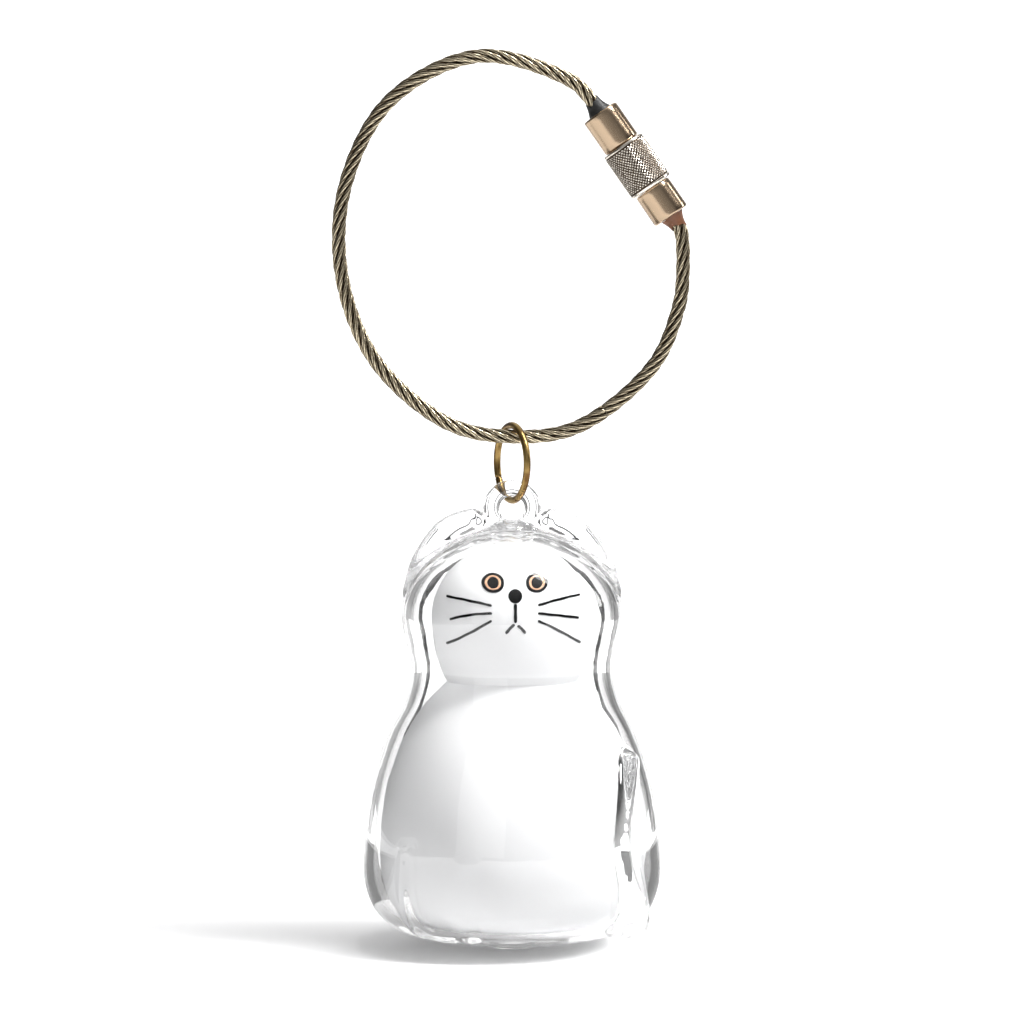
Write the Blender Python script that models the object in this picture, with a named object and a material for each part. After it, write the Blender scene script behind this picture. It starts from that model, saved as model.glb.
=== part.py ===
"""Blown glass cat charm on a wire rope key loop with a screw clasp.

Metres, +Z up, the cat faces -Y. The origin is the hang point, on the inner side of the loop's top.
"""

import math

import bmesh
import bpy
import numpy as np
from mathutils import Matrix, Vector

MM = 0.001
FULL_TURN = 2 * math.pi
SHARP_ANGLE = math.radians(35)
MERGE = 0.0001 * MM

# Clearances
SEAM = 0.05 * MM  # between pieces that are fused together or seated on each other
RUNNING_GAP = 0.1 * MM  # between pieces that turn or slide in each other
LINK_GAP = 0.08 * MM  # between links that hang in each other
SPLIT_GAP = 0.3 * MM  # between the two stretches of the rope

# Key loop: the rope's middle by bearing from the loop's centre, as shares of LOOP_RADIUS
ROPE_RADIUS = 1.0 * MM
LOOP_RADIUS = 24.0 * MM
LOOP_SHAPE = (
    (70, 1.024),
    (100, 1.127),
    (130, 1.110),
    (160, 1.037),
    (190, 1.010),
    (220, 1.042),
    (250, 1.099),
    (270, 1.110),
    (290, 1.121),
    (320, 1.080),
    (340, 1.037),
    (350, 1.014),
)
LOOP_POINTS = 46  # along the long stretch of rope
FREE_END_POINTS = 18

# Clasp, measured along its axis from the upper ferrule's mouth
CLASP_BEARING = 33.7
CLASP_REACH = 0.867  # of LOOP_RADIUS, to the clasp's middle
CLASP_SLOPE = -55.1
FERRULE_RADIUS = 2.7 * MM
UPPER_LENGTH = 5.5 * MM
UPPER_BORE_DEPTH = 4.0 * MM
LOWER_LENGTH = 4.8 * MM
LOWER_BORE_DEPTH = 2.6 * MM
ROPE_LEAD = 2.2 * MM  # straight rope outside each ferrule
EDGE = 0.3 * MM
STUD_LENGTH = 3.5 * MM
THREAD_PITCH = 0.6 * MM
THREAD_ROOT = 1.45 * MM
THREAD_CREST = 1.75 * MM
THREAD_GAP = 0.16 * MM
THREAD_SIDES = 16
THREAD_ROWS = 4  # in each pitch
SLEEVE_RADIUS = 3.2 * MM
SLEEVE_LENGTH = 7.2 * MM
SLEEVE_LIP = 1.05 * MM
PIN_RADIUS = 1.1 * MM
PIN_HEAD_RADIUS = 1.5 * MM
PIN_HEAD_LENGTH = 1.0 * MM
PIN_SOCKET_DEPTH = 1.5 * MM
PRESS_GAP = 0.03 * MM
SEAL_LENGTH = 1.6 * MM
SEAL_RADIUS = 1.6 * MM
SEAL_EDGE = 0.1 * MM  # how blunt its shoulder and its tip are
FERRULE_SEGMENTS = 24
SLEEVE_SEGMENTS = 28
PIN_SEGMENTS = 16

# Jump ring
RING_RADIUS = 5.275 * MM
RING_WIRE_RADIUS = 0.5 * MM
RING_BEARING = -66.4  # of the ring's plane from +X
RING_SEAM_BEARING = 205  # round the ring, clear of both links
RING_POINTS = 34

# Outer shell: (radius, height) as shares of SHELL_RADIUS and SHELL_HEIGHT, below the dome
SHELL_RADIUS = 21.05 * MM
SHELL_HEIGHT = 57.7 * MM
SHELL_WALL = 1.4 * MM
SHELL_SEGMENTS = 28
SHELL_ROWS = 23
DOME_RADIUS = 0.739
DOME_FOOT = 0.787
SHELL_SHAPE = (
    (0.696, 0.698),
    (0.682, 0.650),
    (0.727, 0.581),
    (0.822, 0.513),
    (0.907, 0.425),
    (0.969, 0.328),
    (1.000, 0.210),
    (0.983, 0.125),
    (0.912, 0.064),
    (0.803, 0.029),
    (0.523, 0.000),
    (0.380, 0.000),
)

# Inner figure: shares of its own radius and height, which follow from the shell
FIGURE_SIDE_GAP = 1.0 * MM
FIGURE_TOP_GAP = 0.4 * MM
FIGURE_FLOOR_GAP = 0.3 * MM
FIGURE_WALL = 1.2 * MM
HEAD_RADIUS = 0.608
HEAD_MIDDLE = 0.801
HEAD_DROP = 0.277
NECK_HEIGHT = 0.638
FIGURE_SHAPE = (
    (0.676, 0.568),
    (0.804, 0.500),
    (0.906, 0.413),
    (0.976, 0.312),
    (1.000, 0.210),
    (0.981, 0.129),
    (0.933, 0.065),
    (0.799, 0.017),
    (0.617, 0.000),
    (0.500, 0.000),
)

# Base plug
PLUG_RADIUS = 4.25 * MM
PLUG_THICKNESS = 1.35 * MM
SPIGOT_RADIUS = 3.0 * MM
SPIGOT_GAP = 0.2 * MM
SPIGOT_END = 0.4 * MM  # proud of the figure's floor, inside it
PLUG_SEGMENTS = 20

# Glass eye on the dome, its weld, the ears, the tail and the front paws
EYE_RADIUS = 2.92 * MM
EYE_TUBE = 1.16 * MM
EYE_SINK = 0.12 * MM  # of the tube's middle into the dome
WELD_SIZE = (3.2 * MM, 2.6 * MM, 1.1 * MM)
EAR_REACH = 0.394  # of SHELL_RADIUS
EAR_SLOPE = 39
EAR_SIZE = (7.5 * MM, 3.2 * MM, 3.4 * MM)
TAIL_ROUTE = (  # bearing from the front, and shares of the shell's radius and height
    (60, 0.893, 0.455),
    (56, 0.925, 0.400),
    (47, 0.990, 0.250),
    (57, 0.930, 0.100),
    (62, 0.820, 0.006),
)
TAIL_RADII = (1.9 * MM, 2.0 * MM, 2.1 * MM, 2.8 * MM, 3.3 * MM)
PAW_ROUTES = {
    "outer_front_paw": ((-45.5, 0.995, 0.255), (-46.0, 0.972, 0.110), (-45.0, 0.880, 0.020)),
    "inner_front_paw": ((-17.4, 0.998, 0.225), (-17.6, 0.975, 0.110), (-19.0, 0.850, 0.010)),
}
PAW_RADII = (1.0 * MM, 1.2 * MM, 1.2 * MM)
LAST_INSIDE = 0.985  # how far towards the tip of its round end a limb's first and last rings lie

# Face, in shares of the head's radius from its middle, turned a little to the cat's left
FACE_TURN = math.radians(2.4)
ENAMEL_GAP = 0.03 * MM
ENAMEL_HEIGHT = 0.07 * MM
ENAMEL_SEAM = 0.02 * MM
ENAMEL_EDGE = 0.45  # of its height, at its edge
STROKE_TIP = 0.9  # how far towards its tip a stroke's first and last sections lie
EYE_PLACE = (0.261, 0.476)
EYE_OUTLINE = (0.133, 0.112)
EYE_RING = (0.095, 0.081)
EYE_PUPIL = (0.066, 0.064)
NOSE_PLACE = (0.0, 0.326)
NOSE_RADIUS = 0.082
WHISKER_WIDTH = 0.030
MOUTH_WIDTH = 0.034
STROKES = {  # start, end, how far the middle bows up, width
    "philtrum": ((0.0, 0.238), (0.0, 0.016), 0.0, 0.038),
    "mouth_left": ((-0.010, 0.000), (-0.116, -0.112), 0.008, MOUTH_WIDTH),
    "mouth_right": ((0.024, -0.016), (0.120, -0.108), 0.008, MOUTH_WIDTH),
    "left_whisker_upper": ((-0.280, 0.216), (-0.812, 0.302), 0.006, WHISKER_WIDTH),
    "left_whisker_middle": ((-0.278, 0.124), (-0.774, 0.033), 0.022, WHISKER_WIDTH),
    "left_whisker_lower": ((-0.282, 0.042), (-0.812, -0.259), -0.010, WHISKER_WIDTH),
    "right_whisker_upper": ((0.270, 0.218), (0.800, 0.317), 0.012, WHISKER_WIDTH),
    "right_whisker_middle": ((0.268, 0.124), (0.776, 0.046), 0.006, WHISKER_WIDTH),
    "right_whisker_lower": ((0.268, 0.038), (0.799, -0.253), 0.014, WHISKER_WIDTH),
}

# Colour, roughness, metallic and transmission of each finish
CLEAR_GLASS = ((0.93, 0.95, 0.96), 0.02, 0.0, 0.9)
OPAL_GLASS = ((0.93, 0.93, 0.94), 0.12, 0.0, 0.0)
BLACK_ENAMEL = ((0.006, 0.006, 0.007), 0.30, 0.0, 0.0)
TAN_ENAMEL = ((0.56, 0.36, 0.25), 0.35, 0.0, 0.0)
ROPE_METAL = ((0.42, 0.34, 0.21), 0.38, 1.0, 0.0)
BRONZE = ((0.50, 0.36, 0.24), 0.16, 1.0, 0.0)
OLD_BRASS = ((0.42, 0.29, 0.12), 0.28, 1.0, 0.0)
STEEL = ((0.60, 0.58, 0.55), 0.30, 1.0, 0.0)
BLACK_SEALANT = ((0.012, 0.012, 0.012), 0.45, 0.0, 0.0)
BROWN_SEALANT = ((0.12, 0.045, 0.02), 0.45, 0.0, 0.0)


def clear_scene():
    for obj in list(bpy.data.objects):
        bpy.data.objects.remove(obj)


def add_finish(name, look):
    colour, roughness, metallic, transmission = look
    material = bpy.data.materials.new(name)
    material.use_nodes = True
    shader = material.node_tree.nodes["Principled BSDF"]
    shader.inputs["Base Color"].default_value = (*colour, 1.0)
    shader.inputs["Roughness"].default_value = roughness
    shader.inputs["Metallic"].default_value = metallic
    shader.inputs["Transmission Weight"].default_value = transmission
    return material


def add_piece(name, data, look, parent=None, location=(0, 0, 0)):
    """A visible object with a material of its own."""
    piece = bpy.data.objects.new(name, data)
    bpy.context.scene.collection.objects.link(piece)
    data.materials.append(add_finish(name + "_finish", look))
    piece.parent = parent
    piece.location = location
    return piece


def add_cutter(name, data, parent=None, location=(0, 0, 0)):
    cutter = bpy.data.objects.new(name, data)
    bpy.context.scene.collection.objects.link(cutter)
    cutter.parent = parent
    cutter.location = location
    cutter.hide_render = True
    cutter.display_type = "WIRE"
    return cutter


def add_pivot(name, location, direction=(0, 0, 1)):
    """An empty whose +Z points along the direction, at a place in the world."""
    pivot = bpy.data.objects.new(name, None)
    bpy.context.scene.collection.objects.link(pivot)
    turn = Vector((0, 0, 1)).rotation_difference(Vector(direction))
    pivot.rotation_mode = "QUATERNION"
    pivot.rotation_quaternion = turn
    pivot.location = location
    return pivot


def combine(piece, other, operation):
    """Leaves an exact Boolean on the piece."""
    modifier = piece.modifiers.new(operation.lower() + "_" + other.name, "BOOLEAN")
    modifier.operation = operation
    modifier.solver = "EXACT"
    modifier.object = other


def mesh_from(name, work):
    """A smooth shaded mesh of the bmesh, with its faces pointing out."""
    bmesh.ops.recalc_face_normals(work, faces=work.faces)
    data = bpy.data.meshes.new(name)
    work.to_mesh(data)
    work.free()
    data.shade_smooth()
    data.set_sharp_from_angle(angle=SHARP_ANGLE)
    return data


def turned(name, profile, segments, closed=False):
    """A solid turned about Z from (radius, height) points, from axis to axis or as a closed ring."""
    work = bmesh.new()
    path = [work.verts.new((radius, 0, height)) for radius, height in profile]
    pairs = list(zip(path, path[1:]))
    if closed:
        pairs.append((path[-1], path[0]))
    edges = [work.edges.new(pair) for pair in pairs]
    bmesh.ops.spin(
        work, geom=path + edges, cent=(0, 0, 0), axis=(0, 0, 1), angle=FULL_TURN, steps=segments
    )
    bmesh.ops.remove_doubles(work, verts=work.verts, dist=MERGE)
    return mesh_from(name, work)


def ellipsoid(name, size, segments=20, rings=10):
    work = bmesh.new()
    bmesh.ops.create_uvsphere(work, u_segments=segments, v_segments=rings, radius=1.0)
    bmesh.ops.scale(work, vec=size, verts=work.verts)
    return mesh_from(name, work)


def mix(first, second, start, end, at):
    return ((end - at) * first + (at - start) * second) / (end - start)


def smooth_curve(knots, steps=24):
    """A centripetal Catmull-Rom curve through the knots, with this many points from each to the next."""
    knots = np.array(knots, float)
    knots = np.vstack([2 * knots[0] - knots[1], knots, 2 * knots[-1] - knots[-2]])
    spans = np.linalg.norm(np.diff(knots, axis=0), axis=1) ** 0.5
    times = np.concatenate([[0.0], np.cumsum(spans)])
    stretches = []
    for i in range(len(knots) - 3):
        near, stamp = knots[i : i + 4], times[i : i + 4]
        at = np.linspace(stamp[1], stamp[2], steps, endpoint=False)[:, None]
        lower = [mix(near[k], near[k + 1], stamp[k], stamp[k + 1], at) for k in range(3)]
        upper = [mix(lower[k], lower[k + 1], stamp[k], stamp[k + 2], at) for k in range(2)]
        stretches.append(mix(upper[0], upper[1], stamp[1], stamp[2], at))
    return np.vstack(stretches + [knots[-2:-1]])


def lengths_along(curve):
    return np.concatenate([[0.0], np.cumsum(np.linalg.norm(np.diff(curve, axis=0), axis=1))])


def stretch_of(curve, start, end, count):
    """Evenly spaced points of the curve between two lengths along it."""
    along = lengths_along(curve)
    at = np.linspace(start, end, count)
    return np.column_stack([np.interp(at, along, values) for values in curve.T])


def even_curve(knots, count):
    curve = smooth_curve(knots)
    return stretch_of(curve, 0.0, lengths_along(curve)[-1], count)


def offset_in(profile, distance):
    """The (radius, height) profile moved in by a distance. It runs down the outer side."""
    along = np.gradient(profile, axis=0)
    along /= np.linalg.norm(along, axis=1)[:, None]
    moved = profile + distance * np.column_stack([along[:, 1], -along[:, 0]])
    moved[0] = (0.0, profile[0, 1] - distance)
    return moved


def tube_curve(name, points, radius, resolution, radii=None):
    data = bpy.data.curves.new(name, "CURVE")
    data.dimensions = "3D"
    data.bevel_depth = radius
    data.bevel_resolution = resolution
    data.use_fill_caps = True
    spline = data.splines.new("POLY")
    spline.points.add(len(points) - 1)
    for i, place in enumerate(points):
        spline.points[i].co = (*place, 1.0)
        spline.points[i].radius = 1.0 if radii is None else radii[i] / radius
    return data


def rounded_rod(name, knots, radii, stations=14):
    """A mesh rod with round ends along a smooth curve, its radius running through the given ones."""
    curve = smooth_curve(knots)
    along = lengths_along(curve)
    shares = (1 - np.cos(np.linspace(0, math.pi, stations))) / 2
    at = along[-1] * shares
    points = np.column_stack([np.interp(at, along, values) for values in curve.T])
    sizes = np.interp(shares, np.linspace(0, 1, len(radii)), radii)
    to_end = np.minimum(at, along[-1] - at)
    inside = np.clip(1 - to_end / sizes, 0.0, LAST_INSIDE)
    sizes = sizes * np.sqrt(1 - inside**2)
    data = tube_curve(name, points, 1.0 * MM, 3, sizes)
    carrier = bpy.data.objects.new(name, data)
    bpy.context.scene.collection.objects.link(carrier)
    mesh = bpy.data.meshes.new_from_object(carrier.evaluated_get(bpy.context.evaluated_depsgraph_get()))
    bpy.data.objects.remove(carrier)
    work = bmesh.new()
    work.from_mesh(mesh)
    bmesh.ops.remove_doubles(work, verts=work.verts, dist=MERGE)
    return mesh_from(name, work)


# Key loop


def clasp_direction():
    slope = math.radians(CLASP_SLOPE)
    return np.array((math.cos(slope), 0.0, math.sin(slope)))


def clasp_length():
    return UPPER_LENGTH + SEAM + SLEEVE_LENGTH + SEAM + LOWER_LENGTH


def polar(bearing, reach):
    turn = math.radians(bearing)
    return reach * np.array((math.cos(turn), 0.0, math.sin(turn)))


def rope_route():
    """The rope's middle from inside the upper ferrule round to inside the lower, and the upper mouth."""
    along = clasp_direction()
    middle = polar(CLASP_BEARING, CLASP_REACH * LOOP_RADIUS)
    upper = middle - along * clasp_length() / 2
    lower = middle + along * clasp_length() / 2
    knots = [upper + along * (UPPER_BORE_DEPTH - RUNNING_GAP), upper, upper - along * ROPE_LEAD]
    knots += [polar(bearing, share * LOOP_RADIUS) for bearing, share in LOOP_SHAPE]
    knots += [lower + along * ROPE_LEAD, lower, lower - along * (LOWER_BORE_DEPTH - RUNNING_GAP)]
    route = smooth_curve(knots)
    over_origin = [point for point in route if point[2] > 0]
    top = min(over_origin, key=lambda point: abs(point[0]))[2]
    lift = np.array((0.0, 0.0, ROPE_RADIUS - top))
    return route + lift, upper + lift


def rope_bottom():
    """Height of the rope's middle where the jump ring hangs."""
    route, _ = rope_route()
    low = [point for point in route if point[2] < -LOOP_RADIUS]
    return min(low, key=lambda point: abs(point[0]))[2]


def build_rope(clasp):
    """One rope as two stretches, parted where it runs square to the clasp's axis."""
    route, _ = rope_route()
    along = lengths_along(route)
    parting = along[int(np.argmax(route @ clasp_direction()))]
    held = stretch_of(route, 0.0, parting - SPLIT_GAP / 2, LOOP_POINTS)
    free = stretch_of(route, parting + SPLIT_GAP / 2, along[-1], FREE_END_POINTS)
    add_piece("wire_rope", tube_curve("wire_rope", held, ROPE_RADIUS, 3), ROPE_METAL)
    data = tube_curve("wire_rope_free_end", free, ROPE_RADIUS, 3)
    free_end = add_piece("wire_rope_free_end", data, ROPE_METAL, clasp)
    free_end.matrix_parent_inverse = clasp.matrix_world.inverted()


def thread_rod(name, start, length, grow):
    """A right hand threaded rod along +Z, its radius grown by a clearance."""
    rows = round(length / THREAD_PITCH * THREAD_ROWS)
    middle = (THREAD_ROOT + THREAD_CREST) / 2
    swing = (THREAD_CREST - THREAD_ROOT) / 2
    work = bmesh.new()
    rings = []
    for row in range(rows + 1):
        height = start + length * row / rows
        ring = []
        for side in range(THREAD_SIDES):
            turn = side / THREAD_SIDES
            wave = math.cos(FULL_TURN * (height / THREAD_PITCH - turn))
            radius = middle + swing * wave + grow
            spoke = FULL_TURN * turn
            ring.append(work.verts.new((radius * math.cos(spoke), radius * math.sin(spoke), height)))
        rings.append(ring)
    for lower, upper in zip(rings, rings[1:]):
        for side in range(THREAD_SIDES):
            after = (side + 1) % THREAD_SIDES
            work.faces.new((lower[side], lower[after], upper[after], upper[side]))
    work.faces.new(list(reversed(rings[0])))
    work.faces.new(rings[-1])
    return mesh_from(name, work)


def build_upper_ferrule(clasp):
    bore = ROPE_RADIUS + SEAM
    profile = (
        (0.0, UPPER_BORE_DEPTH),
        (bore, UPPER_BORE_DEPTH),
        (bore, 0.0),
        (FERRULE_RADIUS - EDGE, 0.0),
        (FERRULE_RADIUS, EDGE),
        (FERRULE_RADIUS, UPPER_LENGTH - EDGE),
        (FERRULE_RADIUS - EDGE, UPPER_LENGTH),
        (0.0, UPPER_LENGTH),
    )
    ferrule = add_piece("upper_ferrule", turned("upper_ferrule", profile, FERRULE_SEGMENTS), BRONZE, clasp)
    root_end = UPPER_LENGTH - THREAD_PITCH
    length = STUD_LENGTH + THREAD_PITCH
    stud = add_cutter("threaded_stud", thread_rod("threaded_stud", root_end, length, 0.0), clasp)
    combine(ferrule, stud, "UNION")


def build_sleeve(clasp):
    """The screw sleeve: thread at the stud's end, a plain chamber, and a lip round the swivel pin."""
    start = UPPER_LENGTH + SEAM
    end = start + SLEEVE_LENGTH
    chamber = UPPER_LENGTH + STUD_LENGTH + RUNNING_GAP
    inner = THREAD_ROOT
    wide = THREAD_CREST + 2 * THREAD_GAP
    lip = PIN_RADIUS + RUNNING_GAP
    profile = (
        (inner, start),
        (inner, chamber),
        (wide, chamber),
        (wide, end - SLEEVE_LIP),
        (lip, end - SLEEVE_LIP),
        (lip, end),
        (SLEEVE_RADIUS - EDGE, end),
        (SLEEVE_RADIUS, end - EDGE),
        (SLEEVE_RADIUS, start + EDGE),
        (SLEEVE_RADIUS - EDGE, start),
    )
    data = turned("screw_sleeve", profile, SLEEVE_SEGMENTS, closed=True)
    sleeve = add_piece("screw_sleeve", data, BRONZE, clasp)
    length = chamber + THREAD_PITCH - (start - THREAD_PITCH)
    tap = add_cutter("tap", thread_rod("tap", start - THREAD_PITCH, length, THREAD_GAP), clasp)
    combine(sleeve, tap, "DIFFERENCE")


def build_swivel_pin(clasp):
    """Its head turns in the sleeve's chamber, and its shank is pressed into the lower ferrule."""
    seat = UPPER_LENGTH + SEAM + SLEEVE_LENGTH - SLEEVE_LIP - RUNNING_GAP
    tip = UPPER_LENGTH + 2 * SEAM + SLEEVE_LENGTH + PIN_SOCKET_DEPTH - SEAM
    profile = (
        (0.0, seat - PIN_HEAD_LENGTH),
        (PIN_HEAD_RADIUS, seat - PIN_HEAD_LENGTH),
        (PIN_HEAD_RADIUS, seat),
        (PIN_RADIUS, seat),
        (PIN_RADIUS, tip),
        (0.0, tip),
    )
    add_piece("swivel_pin", turned("swivel_pin", profile, PIN_SEGMENTS), STEEL, clasp)


def build_lower_ferrule(clasp):
    start = UPPER_LENGTH + SLEEVE_LENGTH + 2 * SEAM
    end = clasp_length()
    socket = PIN_RADIUS + PRESS_GAP
    bore = ROPE_RADIUS + SEAM
    profile = (
        (0.0, start + PIN_SOCKET_DEPTH),
        (socket, start + PIN_SOCKET_DEPTH),
        (socket, start),
        (FERRULE_RADIUS - EDGE, start),
        (FERRULE_RADIUS, start + EDGE),
        (FERRULE_RADIUS, end - EDGE),
        (FERRULE_RADIUS - EDGE, end),
        (bore, end),
        (bore, end - LOWER_BORE_DEPTH),
        (0.0, end - LOWER_BORE_DEPTH),
    )
    add_piece("lower_ferrule", turned("lower_ferrule", profile, FERRULE_SEGMENTS), BRONZE, clasp)


def build_rope_seal(name, clasp, mouth, way, look):
    """A cone of sealant round the rope outside a ferrule's mouth, which lies at this place on the axis."""
    bore = ROPE_RADIUS + SEAM
    face = mouth + way * SEAM
    tip = face + way * SEAL_LENGTH
    profile = (
        (bore, face),
        (SEAL_RADIUS, face),
        (SEAL_RADIUS - SEAL_EDGE, face + way * SEAL_LENGTH / 3),
        (bore + 2 * SEAM + SEAL_EDGE, tip),
        (bore + 2 * SEAM, tip),
    )
    add_piece(name, turned(name, profile, PIN_SEGMENTS, closed=True), look, clasp)


# Jump ring


def build_jump_ring(pivot):
    """An open ring of round wire, its ends a hair apart."""
    bearing = math.radians(RING_BEARING)
    across = Vector((math.cos(bearing), math.sin(bearing), 0.0))
    half_gap = SEAM / RING_RADIUS
    start = math.radians(RING_SEAM_BEARING) + half_gap
    turns = np.linspace(start, start + FULL_TURN - 2 * half_gap, RING_POINTS)
    places = [across * math.cos(turn) + Vector((0, 0, math.sin(turn))) for turn in turns]
    data = tube_curve("jump_ring", [RING_RADIUS * place for place in places], RING_WIRE_RADIUS, 2)
    drop = RING_RADIUS - ROPE_RADIUS - RING_WIRE_RADIUS - LINK_GAP
    add_piece("jump_ring", data, OLD_BRASS, pivot, (0, 0, -drop))


# Charm, built up from its base plane at height 0


def shell_floor():
    return PLUG_THICKNESS + SEAM


def shell_outline():
    """The shell's outside as (radius, height), from the top of the dome to the flat of the base."""
    foot = DOME_FOOT * SHELL_HEIGHT
    knots = []
    for turn in np.radians((90, 78, 65, 50, 35, 18, 0)):
        rise = (SHELL_HEIGHT - foot) * math.sin(turn)
        knots.append((DOME_RADIUS * SHELL_RADIUS * math.cos(turn), shell_floor() + foot + rise))
    knots += [(r * SHELL_RADIUS, shell_floor() + z * SHELL_HEIGHT) for r, z in SHELL_SHAPE]
    return even_curve(knots, SHELL_ROWS)


def build_shell(charm, drop):
    outline = shell_outline()
    cavity = offset_in(outline, SHELL_WALL)
    mouth = SPIGOT_RADIUS + SPIGOT_GAP
    lip = [(mouth, shell_floor()), (mouth, shell_floor() + SHELL_WALL)]
    profile = [tuple(point) for point in outline] + lip + [tuple(point) for point in cavity[::-1]]
    add_piece("outer_shell", turned("outer_shell", profile, SHELL_SEGMENTS), CLEAR_GLASS, charm, drop)


def build_shell_cutter(charm, drop):
    """The shell's whole volume and a seam round it."""
    outside = [tuple(point) for point in offset_in(shell_outline(), -SEAM)]
    outside.append((0.0, shell_floor() - SEAM))
    return add_cutter("shell_space", turned("shell_space", outside, SHELL_SEGMENTS), charm, drop)


def figure_radius():
    return SHELL_RADIUS - SHELL_WALL - FIGURE_SIDE_GAP


def figure_floor():
    return shell_floor() + SHELL_WALL + FIGURE_FLOOR_GAP


def figure_height():
    return shell_floor() + SHELL_HEIGHT - SHELL_WALL - FIGURE_TOP_GAP - figure_floor()


def head_radius():
    return HEAD_RADIUS * figure_radius()


def head_middle():
    return figure_floor() + HEAD_MIDDLE * figure_height()


def head_reach(up):
    """The head's half height, above its middle or below it."""
    return ((1 - HEAD_MIDDLE) if up else HEAD_DROP) * figure_height()


def figure_outline():
    """Head and body as (radius, height), which meet in a crease at the neck."""
    neck = math.asin((HEAD_MIDDLE - NECK_HEIGHT) / HEAD_DROP)
    head = []
    for turn in (*np.linspace(math.pi / 2, 0, 8), *np.linspace(0, -neck, 5)[1:]):
        height = head_middle() + head_reach(turn > 0) * math.sin(turn)
        head.append((head_radius() * math.cos(turn), height))
    body = [(r * figure_radius(), figure_floor() + z * figure_height()) for r, z in FIGURE_SHAPE]
    return np.array(head + [tuple(point) for point in even_curve([head[-1]] + body, 15)[1:]])


def build_figure(charm, drop):
    outline = figure_outline()
    cavity = offset_in(outline, FIGURE_WALL)[::2]
    mouth = SPIGOT_RADIUS + SPIGOT_GAP
    lip = [(mouth, figure_floor()), (mouth, figure_floor() + FIGURE_WALL)]
    profile = [tuple(point) for point in outline] + lip + [tuple(point) for point in cavity[::-1]]
    add_piece("inner_figure", turned("inner_figure", profile, SHELL_SEGMENTS), OPAL_GLASS, charm, drop)


def build_plug(charm, drop):
    """The disc that the charm stands on. Its spigot closes the mouths of shell and figure."""
    top = figure_floor() + FIGURE_WALL + SPIGOT_END
    profile = (
        (0.0, top),
        (SPIGOT_RADIUS - EDGE, top),
        (SPIGOT_RADIUS, top - EDGE),
        (SPIGOT_RADIUS, PLUG_THICKNESS),
        (PLUG_RADIUS - EDGE, PLUG_THICKNESS),
        (PLUG_RADIUS, PLUG_THICKNESS - EDGE),
        (PLUG_RADIUS, EDGE),
        (PLUG_RADIUS - EDGE, 0.0),
        (0.0, 0.0),
    )
    add_piece("base_plug", turned("base_plug", profile, PLUG_SEGMENTS), CLEAR_GLASS, charm, drop)


def eye_height():
    """Height of the glass eye's middle, its tube sunk into the dome's top."""
    return shell_floor() + SHELL_HEIGHT - EYE_SINK + EYE_RADIUS


def eye_mesh(name, tube, sides=10, steps=24):
    work = bmesh.new()
    turns = [FULL_TURN * i / sides for i in range(sides)]
    ring = [work.verts.new((EYE_RADIUS + tube * math.cos(t), 0, tube * math.sin(t))) for t in turns]
    edges = [work.edges.new((ring[i - 1], ring[i])) for i in range(sides)]
    bmesh.ops.spin(
        work, geom=ring + edges, cent=(0, 0, 0), axis=(0, 0, 1), angle=FULL_TURN, steps=steps
    )
    bmesh.ops.remove_doubles(work, verts=work.verts, dist=MERGE)
    bmesh.ops.rotate(work, cent=(0, 0, 0), matrix=Matrix.Rotation(math.pi / 2, 3, "X"), verts=work.verts)
    return mesh_from(name, work)


def raised(drop, height):
    return (0, 0, drop[2] + height)


def build_hang_loop(charm, drop, shell_space):
    at_eye = raised(drop, eye_height())
    eye = add_piece("hang_loop", eye_mesh("hang_loop", EYE_TUBE), CLEAR_GLASS, charm, at_eye)
    at_dome = raised(drop, shell_floor() + SHELL_HEIGHT)
    weld = add_cutter("weld", ellipsoid("weld", WELD_SIZE), charm, at_dome)
    combine(eye, weld, "UNION")
    combine(eye, shell_space, "DIFFERENCE")


def build_ears(charm, drop, shell_space):
    reach = EAR_REACH * SHELL_RADIUS
    foot = DOME_FOOT * SHELL_HEIGHT
    rise = (SHELL_HEIGHT - foot) * math.sqrt(1 - (EAR_REACH / DOME_RADIUS) ** 2)
    place = raised(drop, shell_floor() + foot + rise)
    eye_data = eye_mesh("eye_space", EYE_TUBE + SEAM)
    room = add_cutter("eye_space", eye_data, charm, raised(drop, eye_height()))
    weld_data = ellipsoid("weld_space", [side + SEAM for side in WELD_SIZE])
    weld = add_cutter("weld_space", weld_data, charm, raised(drop, shell_floor() + SHELL_HEIGHT))
    combine(room, weld, "UNION")
    for name, side in (("left_ear", -1), ("right_ear", 1)):
        ear = add_piece(name, ellipsoid(name, EAR_SIZE), CLEAR_GLASS, charm, (side * reach, 0, place[2]))
        ear.rotation_euler = (0, side * math.radians(EAR_SLOPE), 0)
        combine(ear, room, "DIFFERENCE")
        combine(ear, shell_space, "DIFFERENCE")


def around(bearing, share, rise):
    """A place round the charm by bearing from the front, share of the shell's radius and of its height."""
    turn = math.radians(bearing)
    reach = share * SHELL_RADIUS
    return (reach * math.sin(turn), -reach * math.cos(turn), shell_floor() + rise * SHELL_HEIGHT)


def build_limbs(charm, drop, shell_space):
    limbs = {"tail": (TAIL_ROUTE, TAIL_RADII)}
    limbs.update({name: (route, PAW_RADII) for name, route in PAW_ROUTES.items()})
    for name, (route, radii) in limbs.items():
        data = rounded_rod(name, [around(*stop) for stop in route], radii)
        limb = add_piece(name, data, CLEAR_GLASS, charm, drop)
        combine(limb, shell_space, "DIFFERENCE")


# Face


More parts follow.
